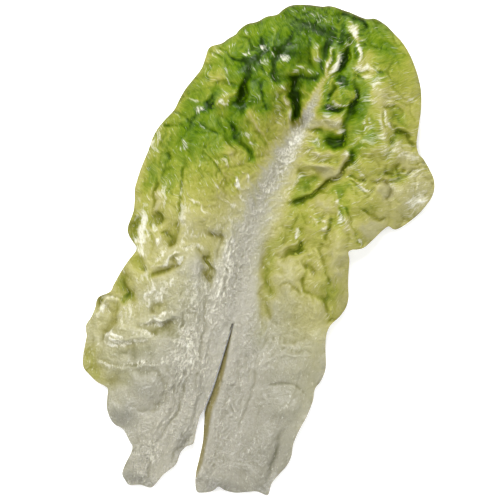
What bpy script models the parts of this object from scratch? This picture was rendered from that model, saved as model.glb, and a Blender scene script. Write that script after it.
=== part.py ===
"""One romaine lettuce leaf, lying face up on a flat surface.

The leaf grew as one piece, so it is one solid: a thin blistered blade, carried by a thick
midrib that widens towards the torn base and has split there into two flaps.

Frame: metres, +Z up from the surface that the leaf lies on, +Y along the midrib from the base
to the tip, +X to the right of the leaf seen from above. The origin is under the centre of the
leaf's outline, on that surface. Every size below is in millimetres.
"""

import math

import bmesh
import bpy
import numpy as np
from mathutils import Matrix

MM = 0.001

# ---------------------------------------------------------------- driving sizes
LEAF_LENGTH = 248.0
LEAF_WIDTH = 146.0
BLADE_THICKNESS = 0.8
CELL = 3.9
BLANK_MARGIN = 6.0
CUTTER_HEIGHT = 60.0
CURVE_STEPS = 2
RUFFLE_WAVES = 17
RUFFLE_RISE = 1.6
RUFFLE_REACH = 7.0

# The margin, clockwise from the tip seen from above: down the right side, round the right
# flap, up the split, round the left flap and up the left side.
MARGIN = [
    (2, 123.4), (10, 123), (19.5, 121.9), (24, 123.2), (30, 121.6), (35, 118.4), (40, 115), (45, 110),
    (49, 104.6), (52.2, 99.5), (54.8, 93.6), (56.6, 85.8), (57.6, 77.5), (58.8, 69.5), (61, 65.5),
    (64, 63.6), (68, 59.7), (71.3, 55.7), (72.8, 51), (72.1, 46), (69, 38.7), (64.6, 32.4),
    (60.6, 28.3), (58.4, 27.8), (56.1, 28.4), (53.8, 25.8), (50.6, 20.5), (47.5, 15.8), (44.6, 13.9),
    (41.8, 12.9), (40.5, 11.3), (42, 8), (43.2, 2), (44.6, -3.9), (46.3, -9.2), (46.5, -14.2),
    (44.8, -19.2), (41.9, -23.7), (40.8, -27), (40.9, -31), (42.2, -36.8), (44.2, -43.2),
    (44.6, -47), (43.9, -51.8), (42.2, -56.3), (42.7, -62), (41.8, -69.5), (40, -77), (39, -84),
    (39.6, -90.5), (38.5, -95.8), (36.2, -100.3), (33.9, -105.3), (33.8, -110), (33, -111.5),
    (28, -111), (23.4, -112.5), (18.5, -114.2), (13.3, -114.5), (9.6, -113.6), (7.5, -116.2),
    (4.2, -117.9), (0.4, -118.7), (-1.4, -115.7), (-2.6, -110.5), (-2.9, -103), (-3.3, -94.7),
    (-4.5, -88.4), (-5.3, -84), (-6.1, -79.4), (-5.1, -70), (-4.6, -60), (-4.3, -50), (-4, -42),
    (-3.9, -35),
    (-4.4, -42), (-4.8, -50), (-5.2, -60), (-5.8, -70), (-6.9, -79.4), (-7.8, -83), (-7.8, -90),
    (-7.4, -96.2), (-8.6, -97.7), (-10.3, -98.9), (-12.3, -102.5), (-12.7, -107.4), (-14, -110.2),
    (-17.6, -115), (-20.1, -120.4), (-22, -122.5), (-27, -122.4), (-31.9, -123.9), (-34.5, -122.3),
    (-36.7, -120), (-36.9, -117), (-36.1, -112.5), (-35.2, -108.3), (-35.4, -105.3), (-37.3, -103.4),
    (-41, -99.3), (-43.5, -98.1), (-46.5, -97.4), (-49.5, -95), (-52.1, -91), (-53.3, -86),
    (-53.9, -82.2), (-55.2, -81.2), (-60, -80), (-64.5, -77.6), (-68.1, -75), (-69.8, -70),
    (-70.3, -64.2), (-70.7, -60), (-72.2, -55.3), (-70.8, -50.6), (-70.1, -46), (-70.3, -42),
    (-69, -39.6), (-65, -36.4), (-64.2, -32.6), (-62.6, -26.3), (-60.5, -20), (-58, -13.4),
    (-60.5, -10.6), (-63.4, -8), (-65, -4.4), (-64.3, 3), (-64.9, 8.2), (-66.3, 14), (-66.4, 19.2),
    (-66, 25.6), (-65, 33), (-64.3, 41), (-63, 46), (-60.6, 51), (-57.9, 56), (-56.8, 61.2),
    (-55.4, 66.4), (-53.1, 71.6), (-50.3, 77.9), (-49.7, 84), (-49.5, 88), (-48, 90.1),
    (-44, 92.4), (-41.5, 95.4), (-38.6, 98.4), (-37.5, 101), (-34.6, 104.5), (-30.2, 106.8),
    (-26.7, 110), (-21.9, 112.4), (-19.9, 115.4), (-17, 118.4), (-13, 120.1), (-8, 121.4), (-2, 122.2),
]

# The midrib's centre line from the base to the tip: along the leaf, across the leaf, how far
# the rib stands out of the underside, and its half width.
MIDRIB = [
    (-125, -4, 4.4, 25),
    (-90, -4, 5.6, 24),
    (-60, -4, 6.2, 20),
    (-30, -4.5, 6.6, 15),
    (0, -6, 6.8, 11),
    (25, -5, 6.8, 9.5),
    (45, -2.5, 5.8, 8),
    (60, 1.5, 4.0, 6),
    (75, 5, 2.6, 4.5),
    (90, 8, 1.7, 3.5),
    (105, 9, 1.1, 3),
    (123, 7, 0.5, 2.5),
]

# Heights of the upper face above the surface, before its blisters: a column every CAGE_COLUMN
# from the left margin to the right, and a row every CAGE_ROW from the base to the tip. The
# blade is raised on both sides of the midrib and curls down all round its margin.
CAGE_COLUMN = 18.0
CAGE_ROW = 21.0
CAGE = [
    (2, 2, 3.5, 4.2, 4.2, 4.2, 3.5, 3, 3),
    (1, 3, 5.6, 5.2, 4.8, 5.2, 5, 2, 2),
    (0, 4, 7, 6, 5.6, 6, 7, 2.5, 2),
    (0, 6, 8, 6.5, 6, 6.5, 8.5, 3, 2),
    (1, 7, 10, 7, 6, 6.5, 10, 3, 2),
    (2, 9, 12, 8, 6.2, 7, 12, 4, 2),
    (0, 8, 13, 9, 6.2, 8, 14, 5, 2),
    (1, 8, 15, 11, 6.4, 10, 17, 8, 0),
    (1, 7, 17, 14, 7.2, 12, 19, 14, 2),
    (3, 8, 19, 20, 11, 18, 22, 17, 5),
    (4, 9, 19, 24, 17, 22, 23, 14, 5),
    (4, 6, 12, 20, 21, 20, 16, 8, 4),
    (3, 4, 5, 6, 7, 6, 5, 4, 3),
]

# Blisters (rise above 0) and hollows (below 0) of the blade:
# across, along, half length, half width, turn in degrees from +X, rise.
SWELLINGS = [
    (-2.5, 73, 10, 4.8, 108, -5), (14.5, 103, 9, 5, 74, -5), (24.5, 79, 9, 4.6, 95, -4.5),
    (20, 60, 8, 5, 8, -4.5), (29, 53, 7, 4.6, 75, -3), (21, 39, 11, 5, 50, -4),
    (-28.5, 76, 10, 4.8, 95, -4), (-20.5, 47.5, 8, 4.6, 142, -4), (-42, 62, 6, 5, 70, -3),
    (-16.5, 88, 9, 4.8, 95, -3.5), (6.5, -12, 14, 4.6, 100, -3), (15, 4, 7, 4.6, 42, -3),
    (-22, -14, 8, 4.6, 108, -3), (-44, -2, 7, 5, 115, -3.5), (-55, 3, 5, 4.6, 0, -3),
    (-57, -33, 8, 5, 118, -3), (-43, -21, 8, 4.6, 45, -3), (-34, -46, 8, 5, 22, -3),
    (-62, -52, 10, 5, 78, -2.5), (-50, -76, 6, 5, 10, -2), (34, -12, 10, 4.8, 118, -3),
    (45, 58, 9, 4.6, 35, -3), (46, 33, 9, 4.6, 160, -3), (-55, 32, 12, 4.8, 98, -3),
    (32, -95, 14, 4.6, 92, -2), (15, -7, 9, 7, 100, 3.4), (19, -19, 9, 8, 95, 3),
    (34, 8, 14, 6, 96, 2.5), (20, 18, 9, 6, 95, 3), (26, 31, 9, 7, 40, 2.5), (45, 44, 12, 6, 10, 2.5),
    (61, 46, 10, 8, 60, 2.5), (40, 69, 11, 7, 20, 2), (34, 90, 14, 8, 100, 3), (46, 101, 10, 7, 130, 2.5),
    (-31, 35, 16, 10, 135, 2.4), (-27, 17, 14, 7, 165, 2), (-8, 101, 7, 6, 60, 3.5),
    (-22, 92, 6, 5, 0, 3), (-35, 67, 7, 5, 80, 4), (-10, 82, 8, 5, 120, 3), (-40, 82, 8, 7, 60, 2.4),
    (16, 70, 7, 5, 175, 3), (17, 84, 6, 5, 50, 3), (-36, -30, 11, 5, 55, 2.5),
    (-52, -57, 9, 5, 20, 2.4), (-38, -72, 12, 6, 15, 2), (24, -47, 15, 8, 18, 2.4),
    (28, -66, 13, 7, 175, 1.6), (-52, -12, 8, 5, 80, 2.6), (-62, 36, 13, 4.6, 92, 2),
]


def clear_scene():
    """Removes whatever the opened file holds."""
    for obj in list(bpy.data.objects):
        bpy.data.objects.remove(obj, do_unlink=True)


def new_collection(name):
    """Adds a collection to the scene and returns it."""
    made = bpy.data.collections.new(name)
    bpy.context.scene.collection.children.link(made)
    return made


def spline_weights(place, count):
    """The four cage lines around each place, and their weights in a smooth curve through them."""
    first = np.clip(np.floor(place).astype(int), 0, count - 2)
    t = np.clip(place - first, 0.0, 1.0)
    lines = np.clip(first + np.array([[-1], [0], [1], [2]]), 0, count - 1)
    weights = np.array(
        [
            (-t + 2 * t**2 - t**3) / 2,
            (2 - 5 * t**2 + 3 * t**3) / 2,
            (t + 4 * t**2 - 3 * t**3) / 2,
            (t**3 - t**2) / 2,
        ]
    )
    return lines, weights


def cage_height(x, y):
    """Height of the coarse cage, with smooth curves through its rows and columns."""
    cage = np.array(CAGE, float)
    rows, columns = cage.shape
    across, across_weights = spline_weights(x / CAGE_COLUMN + (columns - 1) / 2, columns)
    along, along_weights = spline_weights(y / CAGE_ROW + (rows - 1) / 2, rows)
    corners = cage[along[:, None], across[None, :]]
    return (corners * along_weights[:, None] * across_weights[None, :]).sum(axis=(0, 1))


def swelling_height(x, y):
    """Sum of the blisters and hollows, each a soft oval mound."""
    total = np.zeros_like(x)
    for across, along, half_length, half_width, turn, rise in SWELLINGS:
        cosine, sine = math.cos(math.radians(turn)), math.sin(math.radians(turn))
        lengthwise = ((x - across) * cosine + (y - along) * sine) / half_length
        crosswise = ((y - along) * cosine - (x - across) * sine) / half_width
        total += rise * np.exp(-(lengthwise**2) - crosswise**2)
    return total


def midrib_at(x, y):
    """Share of the midrib at each point, 1 on its centre line, and its depth there."""
    along, across, depth, half_width = np.array(MIDRIB, float).T
    away = (x - np.interp(y, along, across)) / np.interp(y, along, half_width)
    return np.exp(-(away**2)), np.interp(y, along, depth)


def margin_curve(height):
    """The leaf's outline as a flat curve, filled and drawn out to a prism of that height."""
    curve = bpy.data.curves.new("margin", "CURVE")
    curve.dimensions = "2D"
    curve.fill_mode = "BOTH"
    curve.extrude = height / 2 * MM
    curve.resolution_u = CURVE_STEPS
    spline = curve.splines.new("BEZIER")
    spline.bezier_points.add(len(MARGIN) - 1)
    for point, (x, y) in zip(spline.bezier_points, MARGIN):
        point.co = (x * MM, y * MM, 0)
        point.handle_left_type = point.handle_right_type = "AUTO"
    spline.use_cyclic_u = True
    return bpy.data.objects.new("margin", curve)


def margin_cutter(collection):
    """The outline's prism as a closed mesh, hidden, which cuts the leaf out of its blank."""
    source = margin_curve(CUTTER_HEIGHT)
    collection.objects.link(source)
    graph = bpy.context.evaluated_depsgraph_get()
    mesh = bpy.data.meshes.new_from_object(source.evaluated_get(graph))
    bpy.data.objects.remove(source)
    work = bmesh.new()
    work.from_mesh(mesh)
    bmesh.ops.remove_doubles(work, verts=work.verts, dist=0.00001)
    bmesh.ops.recalc_face_normals(work, faces=work.faces)
    work.to_mesh(mesh)
    work.free()
    cutter = bpy.data.objects.new("margin_cutter", mesh)
    cutter.hide_render = True
    cutter.display_type = "WIRE"
    collection.objects.link(cutter)
    return cutter


def margin_loop(cutter):
    """The outline's points in order, as an array of millimetres."""
    mesh = cutter.data
    top = {v.index for v in mesh.vertices if v.co.z > 0}
    following = {}
    for face in mesh.polygons:
        ends = [i for i in face.vertices if i in top]
        if len(ends) == 2 and len(face.vertices) == 4:
            following.setdefault(ends[0], []).append(ends[1])
            following.setdefault(ends[1], []).append(ends[0])
    start = min(following)
    order, previous = [start], None
    while True:
        onward = [i for i in following[order[-1]] if i != previous]
        previous = order[-1]
        if onward[0] == start:
            break
        order.append(onward[0])
    return np.array([mesh.vertices[i].co[:2] for i in order]) / MM


def ruffle_height(x, y, loop):
    """Gentle waves that run round the margin and fade towards the blade."""
    sides = np.roll(loop, -1, axis=0) - loop
    lengths = np.linalg.norm(sides, axis=1)
    along = np.concatenate([[0.0], np.cumsum(lengths)[:-1]])
    offset = np.stack([x, y], axis=1)[:, None] - loop
    share = np.clip((offset * sides).sum(axis=2) / lengths**2, 0, 1)
    gaps = np.linalg.norm(offset - sides * share[:, :, None], axis=2)
    every = np.arange(len(x))
    nearest = gaps.argmin(axis=1)
    turn = (along[nearest] + share[every, nearest] * lengths[nearest]) / lengths.sum()
    wave = np.sin(math.tau * RUFFLE_WAVES * turn + 2.0 * np.sin(math.tau * 3 * turn))
    return RUFFLE_RISE * wave * np.exp(-gaps[every, nearest] / RUFFLE_REACH)


def leaf_blank(collection, loop):
    """A wavy slab, larger than the leaf, with the leaf's upper and lower faces."""
    width = LEAF_WIDTH + 2 * BLANK_MARGIN
    length = LEAF_LENGTH + 2 * BLANK_MARGIN
    work = bmesh.new()
    bmesh.ops.create_grid(
        work, x_segments=round(width / CELL), y_segments=round(length / CELL), size=0.5
    )
    bmesh.ops.scale(work, vec=(width, length, 1), verts=work.verts)
    drawn = bmesh.ops.extrude_face_region(work, geom=work.faces[:])
    upper = {part for part in drawn["geom"] if isinstance(part, bmesh.types.BMVert)}
    points = np.array([vert.co[:2] for vert in work.verts])
    x, y = points[:, 0], points[:, 1]
    rib, depth = midrib_at(x, y)
    thickness = BLADE_THICKNESS + depth * rib
    face = cage_height(x, y) + (1 - rib) * swelling_height(x, y)
    face += (1 - rib) * ruffle_height(x, y, loop)
    under = np.maximum(face - thickness, 0.0)
    face = np.maximum(face, under + BLADE_THICKNESS)
    for vert, above, below in zip(work.verts, face, under):
        vert.co.z = above if vert in upper else below
    bmesh.ops.scale(work, vec=(MM, MM, MM), verts=work.verts)
    bmesh.ops.recalc_face_normals(work, faces=work.faces)
    mesh = bpy.data.meshes.new("leaf")
    work.to_mesh(mesh)
    work.free()
    blank = bpy.data.objects.new("leaf", mesh)
    collection.objects.link(blank)
    return blank


def leaf_flesh():
    """Fresh lettuce: a moist, slightly glossy pale green."""
    flesh = bpy.data.materials.new("lettuce_flesh")
    flesh.use_nodes = True
    shader = flesh.node_tree.nodes["Principled BSDF"]
    shader.inputs["Base Color"].default_value = (0.36, 0.44, 0.12, 1)
    shader.inputs["Roughness"].default_value = 0.42
    shader.inputs["Metallic"].default_value = 0.0
    return flesh


def main():
    clear_scene()
    cutters = new_collection("cutters")
    leaf_parts = new_collection("lettuce_leaf")
    cutter = margin_cutter(cutters)
    loop = margin_loop(cutter)
    leaf = leaf_blank(leaf_parts, loop)
    middle = (loop.min(axis=0) + loop.max(axis=0)) / 2 * MM
    for obj in (leaf, cutter):
        obj.data.transform(Matrix.Translation((-middle[0], -middle[1], 0)))
    cut = leaf.modifiers.new("cut_to_margin", "BOOLEAN")
    cut.operation = "INTERSECT"
    cut.solver = "EXACT"
    cut.object = cutter
    leaf.data.materials.append(leaf_flesh())
    leaf.data.shade_smooth()


main()
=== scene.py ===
"""A romaine lettuce leaf lying face up, finished as fresh, moist leaf tissue.

The leaf is one thin sheet. Its relief is a height field over its outline: a coarse cage of
heights gives the lie of the blade, swellings and folds placed one by one give its blisters and
hollows, and a Geometry Nodes tree adds the fine wrinkles of the skin. Colour follows the green of
the leaf, which is deepest at the tip and absent in the midrib and the base. Painted shade darkens
its hollows and darker patches, painted light pales its ridges, and painted glare lies on pale skin.

Lengths are in millimetres in the leaf's own frame until a mesh is made: x to the right, y along
the midrib from the base to the tip, z up from the surface.
"""

import logging
import math
from collections.abc import Sequence
from dataclasses import dataclass, field
from enum import Enum
from functools import partial

import bpy
import numpy as np
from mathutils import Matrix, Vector
from mathutils.geometry import delaunay_2d_cdt


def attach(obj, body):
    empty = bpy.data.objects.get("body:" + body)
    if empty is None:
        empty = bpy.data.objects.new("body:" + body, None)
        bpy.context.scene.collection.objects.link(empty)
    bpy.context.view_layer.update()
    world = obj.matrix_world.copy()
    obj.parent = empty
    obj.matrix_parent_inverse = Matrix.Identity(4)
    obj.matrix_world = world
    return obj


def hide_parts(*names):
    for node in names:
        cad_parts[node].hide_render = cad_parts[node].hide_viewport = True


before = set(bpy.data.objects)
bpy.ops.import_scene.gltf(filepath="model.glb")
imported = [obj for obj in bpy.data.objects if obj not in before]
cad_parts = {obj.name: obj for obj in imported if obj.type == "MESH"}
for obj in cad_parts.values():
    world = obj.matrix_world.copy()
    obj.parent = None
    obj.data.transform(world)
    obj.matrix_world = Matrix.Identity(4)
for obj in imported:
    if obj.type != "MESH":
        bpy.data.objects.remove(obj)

LOG = logging.getLogger("lettuce_leaf")
MM = 0.001
HUNDREDTH = 0.01
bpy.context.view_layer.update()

Point = tuple[float, float]


def linear(colour: str) -> tuple[float, float, float, float]:
    """Turns an sRGB hex colour to linear light.

    Args:
        colour: Six hex digits after a hash.

    Returns:
        Red, green, blue and an alpha of one.
    """
    parts = [int(colour[i : i + 2], 16) / 255 for i in (1, 3, 5)]
    red, green, blue = (p / 12.92 if p <= 0.04045 else ((p + 0.055) / 1.055) ** 2.4 for p in parts)
    return red, green, blue, 1.0


def add_node(
    tree: bpy.types.NodeTree,
    kind: str,
    settings: dict[str, object] | None = None,
    links: dict[str | int, bpy.types.NodeSocket | float | tuple[float, ...]] | None = None,
) -> bpy.types.Node:
    """Adds one node with its settings and what its inputs take.

    Args:
        tree: The shader or geometry tree.
        kind: The node's type name.
        settings: Attributes of the node.
        links: For each input, by name or index, a socket to link or a value to set.

    Returns:
        The node.
    """
    node = tree.nodes.new(kind)
    for name, value in (settings or {}).items():
        setattr(node, name, value)
    for name, value in (links or {}).items():
        if isinstance(value, bpy.types.NodeSocket):
            tree.links.new(value, node.inputs[name])
        else:
            node.inputs[name].default_value = value
    return node


def smooth_path(path: Sequence[Point], step: float = 0.5, closed: bool = False) -> np.ndarray:
    """Points at an even spacing along a smooth curve through the path's points.

    Args:
        path: The points that the curve passes through.
        step: Spacing of the result.
        closed: Whether the curve returns to its first point.

    Returns:
        One row for each point.
    """
    knots = np.array(path, float)
    if closed:
        knots = np.vstack([knots[-1:], knots, knots[:2]])
    else:
        knots = np.vstack([2 * knots[0] - knots[1], knots, 2 * knots[-1] - knots[-2]])
    points_per_span = 12
    share = np.linspace(0.0, 1.0, points_per_span, endpoint=False)[:, None]
    pieces = []
    for a, b, c, d in zip(knots, knots[1:], knots[2:], knots[3:]):
        pieces.append(
            (2 * b + (c - a) * share + (2 * a - 5 * b + 4 * c - d) * share**2
             + (3 * b - a - 3 * c + d) * share**3) / 2
        )
    points = np.vstack(pieces + [knots[1:2] if closed else knots[-2:-1]])
    travel = np.concatenate([[0.0], np.cumsum(np.hypot(*np.diff(points, axis=0).T))])
    count = max(3, round(travel[-1] / step) + 1)
    even = np.linspace(0.0, travel[-1], count)
    return np.stack([np.interp(even, travel, points[:, k]) for k in (0, 1)], axis=1)


def spline_weights(place: np.ndarray, count: int) -> tuple[np.ndarray, np.ndarray]:
    """The four cage lines around each place, and their weights in a curve through them.

    Args:
        place: Places along the cage, in cells from its first line.
        count: How many lines the cage has.

    Returns:
        Line numbers and weights, each with four rows.
    """
    first = np.clip(np.floor(place).astype(int), 0, count - 2)
    t = np.clip(place - first, 0.0, 1.0)
    lines = np.clip(first + np.array([[-1], [0], [1], [2]]), 0, count - 1)
    weights = np.array([
        (-t + 2 * t**2 - t**3) / 2,
        (2 - 5 * t**2 + 3 * t**3) / 2,
        (t + 4 * t**2 - 3 * t**3) / 2,
        (t**3 - t**2) / 2,
    ])
    return lines, weights


# --------------------------------------------------------------------------- the leaf's outline

MARGIN: tuple[Point, ...] = (
    (2, 123.4), (10, 123), (19.5, 121.9), (24, 123.2), (30, 121.6), (35, 118.4), (40, 115),
    (45, 110), (49, 104.6), (52.2, 99.5), (54.8, 93.6), (56.6, 85.8), (57.6, 77.5), (58.8, 69.5),
    (61, 65.5), (64, 63.6), (68, 59.7), (71.3, 55.7), (72.7, 51), (72.1, 46), (69, 38.7),
    (64.6, 32.4), (60.6, 28.3), (58.4, 27.8), (56.1, 28.4), (53.8, 25.8), (50.6, 20.5),
    (47.5, 15.8), (44.6, 13.9), (41.8, 12.9), (40.5, 11.3), (42, 8), (43.2, 2), (44.6, -3.9),
    (46.3, -9.2), (46.5, -14.2), (44.8, -19.2), (41.9, -23.7), (40.8, -27), (40.9, -31),
    (42.2, -36.8), (44.2, -43.2), (44.6, -47), (43.9, -51.8), (42.2, -56.3), (42.7, -62),
    (41.8, -69.5), (40, -77), (39, -84), (39.6, -90.5), (38.5, -95.8), (36.2, -100.3),
    (33.9, -105.3), (33.8, -110), (33, -111.5), (28, -111), (23.4, -112.5), (18.5, -114.2),
    (13.3, -114.5), (9.6, -113.6), (7.5, -116.2), (4.2, -117.9), (0.4, -118.7), (-1.4, -115.7),
    (-2.6, -110.5), (-2.9, -103), (-3.3, -94.7), (-4.5, -88.4), (-5.3, -84), (-6.1, -79.4),
    (-5.1, -70), (-4.6, -60), (-4.3, -50), (-4, -42), (-3.9, -35), (-4.4, -42), (-4.8, -50),
    (-5.2, -60), (-5.8, -70), (-6.9, -79.4), (-7.8, -83), (-7.8, -90), (-7.4, -96.2), (-8.6, -97.7),
    (-10.3, -98.9), (-12.3, -102.5), (-12.7, -107.4), (-14, -110.2), (-17.6, -115), (-20.1, -120.4),
    (-22, -122.5), (-27, -122.4), (-31.9, -123.9), (-34.5, -122.3), (-36.7, -120), (-36.9, -117),
    (-36.1, -112.5), (-35.2, -108.3), (-35.4, -105.3), (-37.3, -103.4), (-41, -99.3),
    (-43.5, -98.1), (-46.5, -97.4), (-49.5, -95), (-52.1, -91), (-53.3, -86), (-53.9, -82.2),
    (-55.2, -81.2), (-60, -80), (-64.5, -77.6), (-68.1, -75), (-69.8, -70), (-70.3, -64.2),
    (-70.7, -60), (-72.2, -55.3), (-70.8, -50.6), (-70.1, -46), (-70.3, -42), (-69, -39.6),
    (-65, -36.4), (-64.2, -32.6), (-62.6, -26.3), (-60.5, -20), (-58, -13.4), (-60.5, -10.6),
    (-63.4, -8), (-65, -4.4), (-64.3, 3), (-64.9, 8.2), (-66.3, 14), (-66.4, 19.2), (-66, 25.6),
    (-65, 33), (-64.3, 41), (-63, 46), (-60.6, 51), (-57.9, 56), (-56.8, 61.2), (-55.4, 66.4),
    (-53.1, 71.6), (-50.3, 77.9), (-49.7, 84), (-49.5, 88), (-48, 90.1), (-44, 92.4), (-41.5, 95.4),
    (-38.6, 98.4), (-37.5, 101), (-34.6, 104.5), (-30.2, 106.8), (-26.7, 110), (-21.9, 112.4),
    (-19.9, 115.4), (-17, 118.4), (-13, 120.1), (-8, 121.4), (-2, 122.2),
)

# --------------------------------------------------------------------------- the lie of the blade

# Heights of the upper face, a column every CAGE_COLUMN from left to right and a row every
# CAGE_ROW from base to tip.
CAGE_COLUMN = 18.0
CAGE_ROW = 21.0
HEIGHTS = (
    (2, 2, 3.5, 4.2, 4.2, 4.2, 3.5, 3, 3),
    (1, 3, 5.6, 5.2, 4.8, 5.2, 5, 2, 2),
    (0, 4, 7, 6, 5.6, 6, 7, 2.5, 2),
    (0, 6, 8, 6.5, 6, 6.5, 8.5, 3, 2),
    (1, 7, 10, 7, 6, 6.5, 10, 3, 2),
    (2, 9, 12, 8, 6.2, 7, 12, 4, 2),
    (0, 8, 13, 9, 6.2, 8, 14, 5, 2),
    (1, 8, 15, 11, 6.4, 10, 17, 8, 0),
    (1, 7, 17, 14, 7.2, 12, 18, 12, 8),
    (3, 8, 19, 20, 11, 18, 22, 16, 9),
    (4, 9, 19, 24, 17, 22, 23, 14, 5),
    (4, 6, 12, 20, 21, 20, 16, 8, 4),
    (3, 4, 5, 6, 7, 6, 5, 4, 3),
)

# How green the blade is on the same cage, in hundredths: 0 is bare cream, 100 the darkest green.
GREENS = (
    (3, 3, 2, 2, 2, 2, 2, 3, 3),
    (5, 4, 3, 2, 2, 2, 3, 4, 4),
    (9, 8, 4, 2, 2, 3, 5, 6, 6),
    (15, 14, 7, 3, 2, 5, 8, 10, 10),
    (25, 22, 12, 5, 3, 8, 12, 20, 20),
    (36, 30, 18, 7, 6, 20, 25, 25, 25),
    (34, 38, 29, 20, 14, 32, 30, 26, 24),
    (36, 46, 41, 29, 22, 42, 35, 32, 30),
    (33, 57, 61, 50, 28, 46, 43, 31, 25),
    (46, 66, 72, 66, 36, 56, 43, 34, 28),
    (50, 58, 74, 86, 80, 76, 40, 38, 34),
    (60, 62, 72, 84, 86, 80, 52, 42, 40),
    (80, 80, 76, 80, 84, 78, 60, 50, 50),
)

# How boldly swellings and folds stand out, on the same cage, in hundredths.
BOLDNESS = (
    (120, 120, 120, 120, 120, 120, 120, 120, 120),
    (140, 140, 130, 130, 130, 130, 130, 130, 130),
    (140, 140, 140, 130, 130, 130, 130, 130, 130),
    (85, 95, 110, 120, 120, 120, 120, 120, 120),
    (85, 85, 90, 100, 100, 100, 100, 100, 100),
    (85, 85, 90, 100, 100, 105, 105, 105, 100),
    (85, 90, 110, 120, 100, 115, 115, 110, 110),
    (100, 110, 140, 130, 110, 120, 130, 120, 120),
    (110, 120, 140, 130, 110, 115, 135, 140, 140),
    (110, 115, 115, 110, 105, 115, 140, 150, 150),
    (110, 110, 105, 100, 100, 110, 140, 140, 130),
    (110, 105, 95, 95, 100, 110, 130, 130, 120),
    (100, 100, 100, 100, 100, 100, 100, 100, 100),
)

# The midrib's centre line: along the leaf, across it, how far it stands out of the underside, the
# keel's half width, and the half width of the pale band on the upper face.
MIDRIB = (
    (-125, -4, 4.4, 25, 34),
    (-90, -4, 5.6, 24, 34),
    (-60, -4, 6.2, 20, 26),
    (-30, -5, 6.6, 15, 15),
    (-10, -9.2, 6.8, 12, 9),
    (0, -10.4, 6.8, 11, 8.6),
    (10, -9.0, 6.8, 10.5, 8.2),
    (20, -7.2, 6.8, 10, 7.7),
    (30, -5.3, 6.8, 9, 7.1),
    (40, -3.6, 6.2, 8, 6.3),
    (50, -1.2, 5.2, 7.4, 5.4),
    (60, 1.6, 4.0, 6, 4.2),
    (68, 4.4, 3.2, 5, 2.9),
    (75, 5.4, 2.6, 4.5, 2.5),
    (82, 6.5, 2.2, 4, 2.2),
    (90, 8, 1.7, 3.5, 2.2),
    (105, 8.3, 1.1, 3, 1.3),
    (123, 8, 0.5, 2.5, 0.6),
)
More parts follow.
